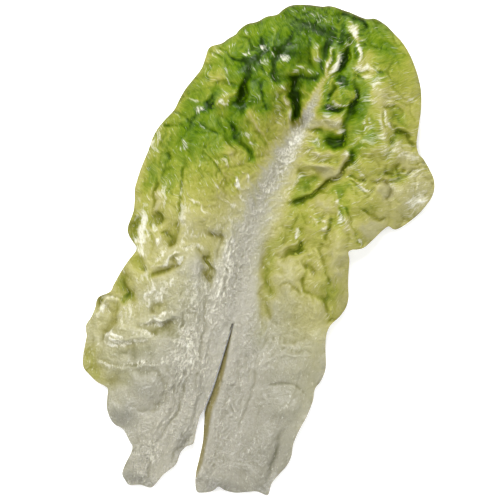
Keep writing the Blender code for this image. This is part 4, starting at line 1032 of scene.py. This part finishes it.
    def add_quilting(self, spacing: float, rise: float, strength: np.ndarray) -> None:
        """Quilts the blade with small domed cells between sunken veinlets that wander.

        Args:
            spacing: Usual distance between two cells.
            rise: Height of a cell above its border.
            strength: How far the quilting shows at each place, 0 to 1.
        """
        random = np.random.default_rng(self.seed)
        stray, border_width, least = 0.34 * spacing, 0.62 * spacing, 0.35
        x = self.x + stray * self.noise(0.5 * spacing, self.seed + 1)
        y = self.y + stray * self.noise(0.5 * spacing, self.seed + 2)
        columns = np.arange(-self.reach_x - spacing, self.reach_x + spacing, spacing)
        rows = np.arange(-self.reach_y - spacing, self.reach_y + spacing, spacing)
        seeds = np.stack(np.meshgrid(columns, rows), axis=-1).reshape(-1, 2)
        seeds += random.uniform(-0.5, 0.5, seeds.shape) * spacing
        lift = random.uniform(least, 1.0, len(seeds))
        for row in range(self.x.shape[0]):
            close = np.abs(seeds[:, 1] - y[row].mean()) < 3.2 * spacing
            near, high = seeds[close], lift[close]
            gaps = np.hypot(x[row][:, None] - near[:, 0], y[row][:, None] - near[:, 1])
            first = gaps.argmin(axis=1)
            gaps.partition(1, axis=1)
            border = np.clip((gaps[:, 1] - gaps[:, 0]) / border_width, 0, 1)
            dome = border * (2 - border) - 0.5
            self.height[row] += rise * strength[row] * high[first] * dome

    def blurred(self, values: np.ndarray, width: float) -> np.ndarray:
        """Softens the raster's values.

        Args:
            values: What to soften.
            width: Standard deviation of the softening.

        Returns:
            The softened values.
        """
        span = math.ceil(2.6 * width / self.pitch)
        kernel = np.exp(-0.5 * (np.arange(-span, span + 1) * self.pitch / width) ** 2)
        kernel /= kernel.sum()
        for axis in (0, 1):
            margins = [(span, span) if k == axis else (0, 0) for k in (0, 1)]
            padded = np.pad(values, margins, mode="edge")
            places = np.arange(values.shape[axis])
            parts = (np.take(padded, places + k, axis=axis) for k in range(2 * span + 1))
            values = sum(weight * part for weight, part in zip(kernel, parts))
        return values

    def bevel_split(self) -> None:
        """Slopes the torn face of the right flap down to the split."""
        along, edge, lip = np.array(TORN_FACE, float).T
        low, high = (np.interp(self.y, along, side) for side in (edge, lip))
        least = 0.2
        share = np.clip((high - self.x) / np.maximum(high - low, least), 0, 1)
        inside = (self.x > low - least) & (self.y > along[0]) & (self.y < along[-1])
        # Elsewhere the rim of the margin takes some of the torn face's tone, most where the
        # blade is greenest.
        rim_darkening = 0.55 * np.exp(-((self.gap / 0.8) ** 2)) * np.clip(3 * self.green - 0.6, 0, 1)
        self.torn = np.where(inside, np.clip(share * 3, 0, 1), rim_darkening)
        self.height -= np.where(inside, self.torn_depth * share**1.2, 0.0)
        strip = np.exp(-(((self.x - high - self.lip_width) / self.lip_width) ** 2))
        self.height += self.lip_rise * strip * inside

    def add_wrinkles(self) -> None:
        """Quilts the blade and lays the wrinkles of the veins on it."""
        tip = 1 / (1 + np.exp(-(self.y - self.tip_start) / self.tip_ramp))
        flat = 1 - np.clip(1.4 * self.pale, 0, 1)
        for spacing, rise, least in QUILTS:
            self.add_quilting(spacing, rise, flat * (least + (1 - least) * tip))
        self.rough = np.zeros(self.x.shape)
        for *place, strength in ROUGH:
            part, patch = self.oval(place)
            self.rough[part] = np.maximum(self.rough[part], strength * HUNDREDTH * patch)
        self.patchy = np.clip(0.4 + 0.3 * self.noise(5.0, 31) + 0.7 * self.rough, 0.15, 1.3)
        veins = self.streak * self.patchy
        self.height += self.base_veins * veins * (1 - 0.8 * tip)
        at_tip = np.where(self.x < 0, self.bold**2 - 0.6, 0.25)
        self.height += self.tip_veins * veins * tip * at_tip

    def add_thickness(self) -> None:
        """Lays the lower face under the upper one, and rounds both off to the rim."""
        thickness = self.blade + self.keel
        self.under = np.maximum(self.height - thickness, 0.0)
        self.height = np.maximum(self.height, self.under + 0.6 * self.blade)
        thickness = self.height - self.under
        curl = 0.35 + 0.5 * ramp(thickness, 0, 3)
        edge = np.clip(self.gap / curl, 0, 1)
        rounded = 1 - np.sqrt(1 - (1 - edge) ** 2)
        lost = 0.5 * self.thin_edge * thickness * rounded * np.clip(1.2 / thickness, 0, 1)
        self.height -= lost
        # Where the lower face lies on the surface it stays there.
        self.under += lost * (self.under > 0.01)

    def settle_green(self) -> None:
        """Finds the hollows, pales the green in the midrib, and deepens it in the hollows as
        painted shade.
        """
        hollow = np.clip((self.blurred(self.height, 2.2) - self.height) / 1.6, -1, 1)
        crease = np.clip((self.blurred(self.height, 0.8) - self.height) / 0.4, -1, 1)
        self.hollow = np.clip(0.8 * hollow + 0.35 * crease, -1, 1)
        bare = self.pale * np.clip((112 - self.y) / 40, 0.3, 1)
        # Painted shade: hollows and creases are made greener and so darker.
        hollow_shade_green = (0.10 * self.hollow + 0.03 * crease) * ramp(self.green, 0.06, 0.2) * self.reply
        least = 0.22 * ramp(self.y, -20, 40) * (1 - bare)
        self.green = np.clip(self.green * (1 - 0.94 * bare) + hollow_shade_green, least, 1)
        self.wet = np.clip(self.wet, 0, 1)

    def lay_skin(self) -> None:
        """Works out the pale skin and its painted glare, how rough the skin is and how much wax
        shines on it.
        """
        bare = ramp(self.green, 0.34, -0.34)
        smooth = np.clip(2.5 * self.green - 1, 0, 1)
        middling = np.clip(1.3 - np.abs(self.green - 0.38) / 0.22, 0, 1)
        veined = ramp(self.streak, 0.45, 1) * ramp(self.patchy, 0.4, 1)
        veined *= np.clip(1.6 - 2.4 * self.green, 0, 1)
        # Pale flecks on bare tissue and on the crests of the vein wrinkles are painted glare.
        frost_glare_share = (0.05 + 0.1 * self.rough) * bare + 0.09 * middling + 0.26 * veined
        self.frost = np.clip(self.frost * (0.75 + 0.5 * self.streak) + frost_glare_share, 0, 1)
        skin = 0.5 + (0.4 * self.rough - 0.04) * bare - 0.24 * smooth + 0.4 * self.frost
        self.skin = np.clip(skin, 0, 1)
        open_air = 1 - 0.9 * np.clip(1.6 * self.hollow, 0, 1)
        self.coat = np.clip(0.14 + 0.84 * bare + 0.6 * self.frost, 0, 1) * open_air
        self.free = ramp(self.gap, 0.4, 1.6)

    def press_top(self) -> None:
        """Presses the highest summits softly lower."""
        above = np.maximum(self.height - self.soft_top, 0)
        pressed = self.soft_top + self.top_room * (1 - np.exp(-above / self.top_room))
        self.height = np.where(above > 0, pressed, self.height)

    def finish(self, outline: np.ndarray) -> None:
        """Builds every raster from the tables.

        Args:
            outline: Points of the outline, evenly spaced.
        """
        self.read_veins()
        self.read_midrib()
        self.find_margin(outline)
        self.add_swellings()
        self.add_folds()
        self.add_wrinkles()
        self.add_ruffle()
        self.bevel_split()
        self.add_thickness()
        self.settle_green()
        self.lay_skin()
        self.press_top()

    def sample(self, values: np.ndarray, points: np.ndarray) -> np.ndarray:
        """Reads the raster between its cells.

        Args:
            values: The raster.
            points: Places to read it at.

        Returns:
            One value for each place.
        """
        rows, columns = (count - 1.001 for count in self.x.shape)
        column = np.clip((points[:, 0] + self.reach_x) / self.pitch, 0, columns)
        row = np.clip((points[:, 1] + self.reach_y) / self.pitch, 0, rows)
        i, j = column.astype(int), row.astype(int)
        u, v = column - i, row - j
        low = values[j, i] * (1 - u) + values[j, i + 1] * u
        high = values[j + 1, i] * (1 - u) + values[j + 1, i + 1] * u
        return low * (1 - v) + high * v


# --------------------------------------------------------------------------- finishes


@dataclass(frozen=True)
class LeafTissue:
    """Fresh romaine tissue: a thin waxy skin over moist green cells, cut from a cool, moist head.

    The skin is smooth and clear, so it shows small sharp glints wherever it wrinkles. Under it the
    colour follows the chlorophyll, from bare cream at the base to a deep green at the tip, with
    painted shade in hollows and darker patches and painted glare where the skin is pale.

    Attributes:
        greens: The colour at each share of green.
        hollow_shade_tone: Painted shade that deep hollows are multiplied by.
        dark_tissue_and_shade_tone: What darker patches are multiplied by, partly darker tissue and
            partly painted shade.
        torn_and_shade_tone: The tissue of a torn face, partly its own colour and partly painted
            shade.
        frost_and_glare_tone: Pale skin that stands off the tissue, and painted glare on the skin's
            crests.
        roughness: Of the tissue under the wax.
        ior: Of that tissue.
        specular: How far it shines by itself.
        wax_roughness: Of the wax.
        wax_ior: Of the wax.
        scatter: How far light soaks in.
        scatter_tints: How far each colour of it gets.
        scatter_depth: The farthest that it gets, in millimetres.
        mottle: Size of the cloudy patches of green, in millimetres.
        speck: Size of the dark specks between veinlets, in millimetres.
        vein_crest: Size of the skin's crests along the veins, in millimetres.
        base_crest: Size of those on bare tissue, in millimetres.
        pore: Size of the finest bumps of the skin, in millimetres.
        drawn_out: Stretch of specks and crests along the veins.
        upright: Stretch of the crests of bare tissue along the leaf.
    """

    greens: tuple[tuple[float, str], ...] = (
        (0.0, "#858276"),
        (0.12, "#8a886c"),
        (0.28, "#8f8a54"),
        (0.44, "#82842d"),
        (0.60, "#607017"),
        (0.76, "#476100"),
        (0.90, "#2a4500"),
        (1.0, "#1a2d00"),
    )
    hollow_shade_tone: str = "#8c8848"
    dark_tissue_and_shade_tone: str = "#949698"
    torn_and_shade_tone: str = "#6e6640"
    frost_and_glare_tone: str = "#bcbaaa"
    roughness: float = 0.34
    ior: float = 1.34
    specular: float = 0.06
    wax_roughness: float = 0.14
    wax_ior: float = 1.5
    scatter: float = 0.12
    scatter_tints: tuple[float, float, float] = (1.0, 0.9, 0.35)
    scatter_depth: float = 1.6
    mottle: float = 7.0
    speck: float = 0.9
    vein_crest: float = 1.2
    base_crest: float = 1.1
    pore: float = 1.1
    drawn_out: tuple[float, float, float] = (1.0, 0.24, 1.0)
    upright: tuple[float, float, float] = (1.0, 0.4, 1.0)

    def material(self) -> bpy.types.Material:
        """Makes the finish.

        Returns:
            The material.
        """
        made = bpy.data.materials.new("lettuce_tissue")
        made.use_nodes = True
        tree = made.node_tree
        shader = tree.nodes["Principled BSDF"]
        for name, value in (
            ("IOR", self.ior),
            ("Specular IOR Level", self.specular),
            ("Coat Roughness", self.wax_roughness),
            ("Coat IOR", self.wax_ior),
            ("Subsurface Weight", self.scatter),
            ("Subsurface Radius", self.scatter_tints),
            ("Subsurface Scale", self.scatter_depth * MM),
        ):
            shader.inputs[name].default_value = value

        # Where each point is: on the leaf, and along its veins.
        make = partial(add_node, tree)
        place = make("ShaderNodeTexCoord").outputs["Object"]
        layers = {
            name: make("ShaderNodeAttribute", {"attribute_name": name}).outputs["Fac"]
            for name in LAYERS
        }
        path = {"X": layers["lane"], "Y": layers["onward"], "Z": 0.0}
        along_veins = make("ShaderNodeCombineXYZ", links=path).outputs[0]
        multiply = {"operation": "MULTIPLY"}
        drawn, upright = (
            make("ShaderNodeVectorMath", multiply, {0: vector, 1: stretch}).outputs[0]
            for vector, stretch in ((along_veins, self.drawn_out), (place, self.upright))
        )
        mottle, cells, pores, veined, plain = (
            make(
                "ShaderNodeTexNoise",
                links={
                    "Vector": vector,
                    "Scale": 1 / (size * MM),
                    "Detail": detail,
                    "Roughness": rough,
                    "Distortion": distortion,
                },
            ).outputs[0]
            for vector, size, detail, rough, distortion in (
                (place, self.mottle, 4.0, 0.6, 0.0),
                (drawn, self.speck, 3.0, 0.7, 0.0),
                (place, self.pore, 2.0, 0.6, 0.0),
                (drawn, self.vein_crest, 3.0, 0.7, 0.2),
                (upright, self.base_crest, 3.0, 0.7, 0.2),
            )
        )

        # The green, a little uneven in clouds and in specks.
        green = layers["green"]
        cloudy, speckled = (
            make("ShaderNodeMapRange", links={0: noise, 1: 0.3, 2: 0.7, 3: low, 4: high}).outputs[0]
            for noise, low, high in ((mottle, -0.07, 0.07), (cells, -0.12, 0.12))
        )
        times_plus = {"operation": "MULTIPLY_ADD"}
        clouds = make("ShaderNodeMath", multiply, {0: cloudy, 1: green}).outputs[0]
        specks = make("ShaderNodeMath", times_plus, {0: speckled, 1: green, 2: green}).outputs[0]
        greener = make("ShaderNodeMath", times_plus, {0: clouds, 1: 1.4, 2: specks}).outputs[0]
        shades = make("ShaderNodeValToRGB", links={"Fac": greener})
        shades.color_ramp.interpolation = "B_SPLINE"
        while len(shades.color_ramp.elements) < len(self.greens):
            shades.color_ramp.elements.new(0.5)
        for element, (position, colour) in zip(shades.color_ramp.elements, self.greens):
            element.position = position
            element.color = linear(colour)

        # Painted shade in hollows, darker patches partly painted shade, and pale skin with painted
        # glare.
        span = {0: layers["hollow"], 1: 0.0, 2: 0.9, 3: 0.0, 4: 0.7}
        deep = make("ShaderNodeMapRange", links=span).outputs[0]
        span = {0: cells, 1: 0.3, 2: 0.7, 3: -0.05, 4: 0.16}
        sunk = make("ShaderNodeMapRange", {"clamp": False}, span).outputs[0]
        clamped = {"operation": "ADD", "use_clamp": True}
        # Random dark specks, and the darker patches: partly darker tissue, partly painted shade.
        dark = make("ShaderNodeMath", clamped, {0: sunk, 1: layers["wet"]}).outputs[0]
        leafy = make("ShaderNodeMapRange", links={0: green, 1: 0.1, 2: 0.35}).outputs[0]
        mixed = {0: leafy, 2: plain, 3: veined}
        crests = make("ShaderNodeMix", {"data_type": "FLOAT"}, mixed).outputs[0]
        frost = layers["frost"]
        # Painted glare: the pale skin colour falls most on the crests of the bump.
        reach = make("ShaderNodeMath", times_plus, {0: crests, 1: 2.0, 2: frost}).outputs[0]
        span = {0: reach, 1: 1.24, 2: 1.82, 3: 0.0, 4: 0.9}
        frost_glare_share = make("ShaderNodeMapRange", links=span).outputs[0]
        tint = shades.outputs["Color"]
        # Painted shade, the torn face's partly shaded tone, and pale skin with painted glare.
        for blend, share, tone in (
            ("MULTIPLY", deep, self.hollow_shade_tone),
            ("MULTIPLY", dark, self.dark_tissue_and_shade_tone),
            ("MIX", layers["torn"], self.torn_and_shade_tone),
            ("MIX", frost_glare_share, self.frost_and_glare_tone),
        ):
            tint = make(
                "ShaderNodeMix",
                {"data_type": "RGBA", "blend_type": blend},
                {0: share, 6: tint, 7: linear(tone)},
            ).outputs[2]

        # The sheen: the tissue's own, the wax over it, and the bumps of both.
        span = {0: mottle, 1: 0.3, 2: 0.7, 3: self.roughness - 0.07, 4: self.roughness + 0.09}
        gloss = make("ShaderNodeMapRange", links=span).outputs[0]
        relief = make("ShaderNodeMath", {"operation": "ADD"}, {0: pores, 1: crests}).outputs[0]
        raised = {"Strength": layers["skin"], "Distance": 1.0 * MM, "Height": relief}
        bump = make("ShaderNodeBump", links=raised).outputs[0]
        for socket, name in (
            (tint, "Base Color"),
            (gloss, "Roughness"),
            (layers["coat"], "Coat Weight"),
            (bump, "Coat Normal"),
            (bump, "Normal"),
        ):
            tree.links.new(socket, shader.inputs[name])
        return made


@dataclass(frozen=True)
class LightTable:
    """A white acrylic panel, lit faintly from below, so that shadows on it stay pale.

    Attributes:
        colour: Of the acrylic.
        roughness: Of its matt face.
        specular: How far it shines.
        light: The colour of the light in it.
        glow: How brightly it glows.
    """

    colour: str = "#f4f4f2"
    roughness: float = 0.9
    specular: float = 0.1
    light: str = "#ffffff"
    glow: float = 0.3

    def material(self) -> bpy.types.Material:
        """Makes the finish.

        Returns:
            The material.
        """
        made = bpy.data.materials.new("white_acrylic")
        made.use_nodes = True
        shader = made.node_tree.nodes["Principled BSDF"]
        shader.inputs["Base Color"].default_value = linear(self.colour)
        shader.inputs["Roughness"].default_value = self.roughness
        shader.inputs["Specular IOR Level"].default_value = self.specular
        shader.inputs["Emission Color"].default_value = linear(self.light)
        shader.inputs["Emission Strength"].default_value = self.glow
        return made


# --------------------------------------------------------------------------- the leaf


@dataclass
class SkinWrinkles:
    """The fine wrinkles of the skin, a Geometry Nodes tree that moves the surface along its normal.

    Attributes:
        spacing: Usual distance between wrinkles, in millimetres.
        height: Height of a wrinkle.
        grain_spacing: Size of the grain on the midrib and the base.
        grain_height: Height of the grain.
        grain_stretch: Stretch of the grain along the leaf.
    """

    spacing: float = 3.2
    height: float = 0.24
    grain_spacing: float = 1.7
    grain_height: float = 0.3
    grain_stretch: tuple[float, float, float] = (1.0, 0.62, 1.0)

    def tree(self) -> bpy.types.GeometryNodeTree:
        """Builds the tree, with a named input for each size.

        Returns:
            The tree.
        """
        tree = bpy.data.node_groups.new("skin_wrinkles", "GeometryNodeTree")
        face = tree.interface
        face.new_socket("Geometry", in_out="INPUT", socket_type="NodeSocketGeometry")
        for name in ("Wrinkle spacing", "Wrinkle height", "Grain spacing", "Grain height"):
            face.new_socket(name, in_out="INPUT", socket_type="NodeSocketFloat")
        face.new_socket("Material", in_out="INPUT", socket_type="NodeSocketMaterial")
        face.new_socket("Geometry", in_out="OUTPUT", socket_type="NodeSocketGeometry")
        make = partial(add_node, tree)
        multiply = {"operation": "MULTIPLY"}
        given = make("NodeGroupInput").outputs
        place = make("GeometryNodeInputPosition").outputs[0]
        normal = make("GeometryNodeInputNormal").outputs[0]
        number = {"data_type": "FLOAT"}
        skin, free = (
            make("GeometryNodeInputNamedAttribute", number, {"Name": name}).outputs[0]
            for name in ("skin", "free")
        )
        stretch = {0: place, 1: self.grain_stretch}
        stretched = make("ShaderNodeVectorMath", multiply, stretch).outputs[0]

        # One texture for the wrinkles and one for the grain, each centred on its middle value.
        centred = []
        for vector, spacing, settings, distortion, middle in (
            (place, "Wrinkle spacing", {"noise_type": "RIDGED_MULTIFRACTAL"}, 0.4, 0.6),
            (stretched, "Grain spacing", {}, 0.0, 0.5),
        ):
            divided = {0: 1.0, 1: given[spacing]}
            rate = make("ShaderNodeMath", {"operation": "DIVIDE"}, divided).outputs[0]
            links = {"Vector": vector, "Scale": rate, "Detail": 2.0, "Distortion": distortion}
            noise = make("ShaderNodeTexNoise", settings, links).outputs[0]
            less = {0: noise, 1: middle}
            centred.append(make("ShaderNodeMath", {"operation": "SUBTRACT"}, less).outputs[0])

        # The grain shows where the skin is rough, and nothing moves at the margin.
        wrinkles, grain = centred
        rough = make("ShaderNodeMath", multiply, {0: grain, 1: skin}).outputs[0]
        lifts = [
            make("ShaderNodeMath", multiply, {0: part, 1: given[name]}).outputs[0]
            for part, name in ((wrinkles, "Wrinkle height"), (rough, "Grain height"))
        ]
        both = make("ShaderNodeMath", {"operation": "ADD"}, dict(enumerate(lifts))).outputs[0]
        held = make("ShaderNodeMath", multiply, {0: both, 1: free}).outputs[0]
        along_normal = {0: normal, "Scale": held}
        offset = make("ShaderNodeVectorMath", {"operation": "SCALE"}, along_normal).outputs[0]
        shifted = {"Geometry": given["Geometry"], "Offset": offset}
        moved = make("GeometryNodeSetPosition", links=shifted).outputs[0]
        whole = make("GeometryNodeRealizeInstances", links={"Geometry": moved}).outputs[0]
        dressing = {"Geometry": whole, "Material": given["Material"]}
        dressed = make("GeometryNodeSetMaterial", links=dressing).outputs[0]
        make("NodeGroupOutput", links={0: dressed})
        return tree

    def apply(self, piece: bpy.types.Object, finish: bpy.types.Material) -> None:
        """Wrinkles the piece and leaves it a plain mesh.

        Args:
            piece: The piece to wrinkle.
            finish: The material that it takes.
        """
        tree = self.tree()
        modifier = piece.modifiers.new("skin_wrinkles", "NODES")
        modifier.node_group = tree
        values = {
            "Wrinkle spacing": self.spacing * MM,
            "Wrinkle height": self.height * MM,
            "Grain spacing": self.grain_spacing * MM,
            "Grain height": self.grain_height * MM,
            "Material": finish,
        }
        for socket in tree.interface.items_tree:
            if socket.in_out == "INPUT" and socket.name in values:
                modifier[socket.identifier] = values[socket.name]
        graph = bpy.context.evaluated_depsgraph_get()
        mesh = bpy.data.meshes.new_from_object(piece.evaluated_get(graph), depsgraph=graph)
        piece.modifiers.remove(modifier)
        piece.data = mesh
        mesh.name = piece.name


@dataclass
class LettuceLeaf:
    """The whole leaf: both faces of the blade and the rim between them, as one closed surface.

    Attributes:
        upper_cell: Size of the triangles on the upper face.
        lower_cell: Size of those on the lower face.
        rim_step: Spacing of the points around the margin.
        margin_step: Spacing of the points that distances to the margin are measured from.
        rim_rows: Rows of faces between the two faces of the blade.
        reach_x: How far the points of the faces are spread to each side.
        reach_y: How far they are spread towards base and tip.
        unevenness: How far a point strays from the even grid, in cells.
        clearance: How far points keep from the margin, in cells.
        crease: Angle from which an edge is shown sharp, in degrees.
        seed: Seed of the small unevenness of the triangles.
        tissue: The finish.
        wrinkles: The skin's fine relief.
    """

    upper_cell: float = 0.61
    lower_cell: float = 1.5
    rim_step: float = 0.8
    margin_step: float = 0.4
    rim_rows: int = 3
    reach_x: float = 74.0
    reach_y: float = 125.0
    unevenness: float = 0.1
    clearance: float = 0.55
    crease: float = 62.0
    seed: int = 11
    tissue: LeafTissue = field(default_factory=LeafTissue)
    wrinkles: SkinWrinkles = field(default_factory=SkinWrinkles)

    def __post_init__(self) -> None:
        """Works out the outline and the relief."""
        self.outline = smooth_path(MARGIN, self.rim_step, closed=True)[:-1]
        self.relief = Relief()
        self.relief.finish(smooth_path(MARGIN, self.margin_step, closed=True)[:-1])

    def face_points(self, cell: float) -> np.ndarray:
        """Spreads points over the blade on a slightly uneven triangular grid.

        Args:
            cell: Spacing of the points.

        Returns:
            The points, none of them close to the margin.
        """
        random = np.random.default_rng(self.seed)
        rows = np.arange(-self.reach_y, self.reach_y, cell * math.sqrt(3) / 2)
        columns = np.arange(-self.reach_x, self.reach_x, cell)
        x, y = np.meshgrid(columns, rows)
        x[1::2] += cell / 2
        points = np.stack([x.ravel(), y.ravel()], axis=1)
        points += random.uniform(-self.unevenness, self.unevenness, points.shape) * cell
        clear = self.relief.sample(self.relief.gap, points) > self.clearance * cell
        return points[clear]

    def triangulate(self, side: Side) -> tuple[np.ndarray, np.ndarray]:
        """Fills the outline with triangles.

        Args:
            side: Which face of the blade.

        Returns:
            Points, of which the outline's come first, and triangles facing up.
        """
        cell = self.upper_cell if side is Side.UPPER else self.lower_cell
        count = len(self.outline)
        points = np.vstack([self.outline, self.face_points(cell)])
        edges = [(i, (i + 1) % count) for i in range(count)]
        inside_only, tolerance = 1, 1e-7
        _, _, faces, origins, _, _ = delaunay_2d_cdt(
            [Vector(point) for point in points], edges, [], inside_only, tolerance
        )
        names = np.array([origin[0] for origin in origins])
        triangles = names[np.array(faces)]
        used = np.unique(triangles)
        order = np.full(len(points), -1)
        kept = np.concatenate([np.arange(count), used[used >= count]])
        order[kept] = np.arange(len(kept))
        triangles = order[triangles]
        points = points[kept]
        a, b, c = (points[triangles[:, k]] for k in range(3))
        ab, ac = b - a, c - a
        turned = ab[:, 0] * ac[:, 1] - ab[:, 1] * ac[:, 0] < 0
        triangles[turned] = triangles[turned][:, ::-1]
        return points, triangles

    def mesh(self) -> bpy.types.Mesh:
        """Builds the closed surface with its attributes.

        Returns:
            The mesh, in metres.
        """
        relief = self.relief
        upper, upper_faces = self.triangulate(Side.UPPER)
        lower, lower_faces = self.triangulate(Side.LOWER)
        count = len(self.outline)
        above = relief.sample(relief.height, upper)
        below = relief.sample(relief.under, lower)
        places = [np.column_stack([upper, above]), np.column_stack([lower, below])]
        faces = [upper_faces, lower_faces[:, ::-1] + len(upper)]
        ring = np.arange(count)
        rings = [ring]
        start = len(upper) + len(lower)
        for row in range(1, self.rim_rows):
            share = row / self.rim_rows
            heights = above[:count] * (1 - share) + below[:count] * share
            places.append(np.column_stack([self.outline, heights]))
            rings.append(ring + start)
            start += count
        rings.append(ring + len(upper))
        following = np.roll(ring, -1)
        for high, low in zip(rings, rings[1:]):
            faces.append(np.column_stack([high, low, low[following]]))
            faces.append(np.column_stack([high, low[following], high[following]]))
        points = np.vstack(places)
        triangles = np.vstack(faces)
        flat, heights = points[:, :2], points[:, 2]
        layers = {name: relief.sample(getattr(relief, name), flat) for name in LAYERS}
        # The underside has no hollows of its own, is paler, and stays still where it lies.
        underside = np.arange(len(points)) >= len(upper)
        layers["hollow"][underside] = 0
        layers["free"][underside] *= ramp(heights[underside], 0, relief.blade)
        layers["green"][underside] *= 0.9
        middle = (self.outline.min(axis=0) + self.outline.max(axis=0)) / 2
        placed = np.column_stack([flat - middle, heights]) * MM
        made = bpy.data.meshes.new("lettuce_leaf")
        made.vertices.add(len(placed))
        made.vertices.foreach_set("co", placed.ravel())
        made.loops.add(triangles.size)
        made.loops.foreach_set("vertex_index", triangles.ravel())
        made.polygons.add(len(triangles))
        made.polygons.foreach_set("loop_start", np.arange(0, triangles.size, 3))
        for name, values in layers.items():
            made.attributes.new(name, "FLOAT", "POINT").data.foreach_set("value", values)
        made.update(calc_edges=True)
        made.validate()
        return made

    def build(self) -> bpy.types.Object:
        """Builds and dresses the leaf.

        Returns:
            The leaf, riding on the frame's body.
        """
        piece = bpy.data.objects.new("lettuce_leaf", self.mesh())
        bpy.context.scene.collection.objects.link(piece)
        self.wrinkles.apply(piece, self.tissue.material())
        piece.data.shade_smooth()
        piece.data.set_sharp_from_angle(angle=math.radians(self.crease))
        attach(piece, "root")
        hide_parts("leaf")
        return piece


# --------------------------------------------------------------------------- the stage


@dataclass
class Stage:
    """A pale floor under soft lamps, with the camera straight above the leaf. Lengths in metres.

    Attributes:
        half: Half the floor's side.
        distance: Height of the camera above the leaf.
        leaf_height: Height of the leaf's face that the distance is taken from.
        field: Width that the camera sees at the leaf.
        aim: Where the camera's axis meets the surface.
        turn: How far the camera is turned about its axis, in degrees.
        sensor: Width of the camera's sensor, in millimetres.
        reach: Distance of the lamps from the leaf.
        lamps: For each lamp its name, direction on the floor from the leaf in degrees from the x
            axis, degrees from straight above, side, and power in watts.
        sky: Colour of the faint light from all around.
        sky_strength: Strength of that light.
    """

    half: float = 2.0
    distance: float = 2.0
    leaf_height: float = 0.008
    field: float = 0.240
    aim: Point = (-0.0055, 0.0005)
    turn: float = 15.0
    sensor: float = 36.0
    reach: float = 1.3
    lamps: tuple[tuple[str, float, float, float, float], ...] = (
        ("key", 125, 33, 0.7, 25.0),
        ("near", 300, 14, 0.16, 2.6),
        ("softbox_0", 20, 54, 0.7, 7.0),
        ("softbox_1", 110, 54, 0.7, 7.0),
        ("softbox_2", 200, 54, 0.7, 7.0),
        ("softbox_3", 290, 54, 0.7, 7.0),
    )
    sky: str = "#ffffff"
    sky_strength: float = 0.06

    def floor(self) -> bpy.types.Object:
        """Lays the floor.

        Returns:
            The floor.
        """
        mesh = bpy.data.meshes.new("floor")
        turns = ((-1, -1), (1, -1), (1, 1), (-1, 1))
        corners = [(self.half * x, self.half * y, 0) for x, y in turns]
        mesh.from_pydata(corners, [], [(0, 1, 2, 3)])
        laid = bpy.data.objects.new("floor", mesh)
        mesh.materials.append(LightTable().material())
        bpy.context.scene.collection.objects.link(laid)
        return laid

    def lamp(self, name: str, around: float, aside: float, size: float, watts: float) -> None:
        """Hangs a soft square lamp that looks at the leaf.

        Args:
            name: The lamp's name.
            around: Its direction on the floor from the leaf, in degrees from the x axis.
            aside: How far it is from straight above, in degrees.
            size: Its side.
            watts: Its power.
        """
        data = bpy.data.lights.new(name, "AREA")
        data.shape = "SQUARE"
        data.size = size
        data.energy = watts
        lamp = bpy.data.objects.new(name, data)
        turn, lean = math.radians(around), math.radians(aside)
        out = math.sin(lean)
        place = Vector((out * math.cos(turn), out * math.sin(turn), math.cos(lean)))
        lamp.location = place * self.reach
        lamp.rotation_euler = (-place).to_track_quat("-Z", "Y").to_euler()
        bpy.context.scene.collection.objects.link(lamp)

    def camera(self) -> None:
        """Sets the camera straight above the leaf."""
        data = bpy.data.cameras.new("camera")
        data.sensor_width = self.sensor
        data.lens = data.sensor_width * self.distance / self.field
        data.clip_start = 0.05
        camera = bpy.data.objects.new("camera", data)
        camera.location = (*self.aim, self.distance + self.leaf_height)
        camera.rotation_euler = (0.0, 0.0, math.radians(self.turn))
        bpy.context.scene.collection.objects.link(camera)
        bpy.context.scene.camera = camera

    def build(self) -> None:
        """Sets up the floor, the light and the camera."""
        self.floor()
        for lamp in self.lamps:
            self.lamp(*lamp)
        world = bpy.data.worlds.new("studio")
        world.use_nodes = True
        background = world.node_tree.nodes["Background"]
        background.inputs["Color"].default_value = linear(self.sky)
        background.inputs["Strength"].default_value = self.sky_strength
        bpy.context.scene.world = world
        bpy.context.scene.view_settings.view_transform = "Standard"
        self.camera()


def main() -> None:
    """Builds the leaf and the stage, and logs the leaf's triangle count."""
    logging.basicConfig(level=logging.INFO, format="%(message)s")
    leaf = LettuceLeaf().build()
    LOG.info("%s: %d triangles", leaf.name, len(leaf.data.polygons))
    Stage().build()


if __name__ == "__main__":
    main()
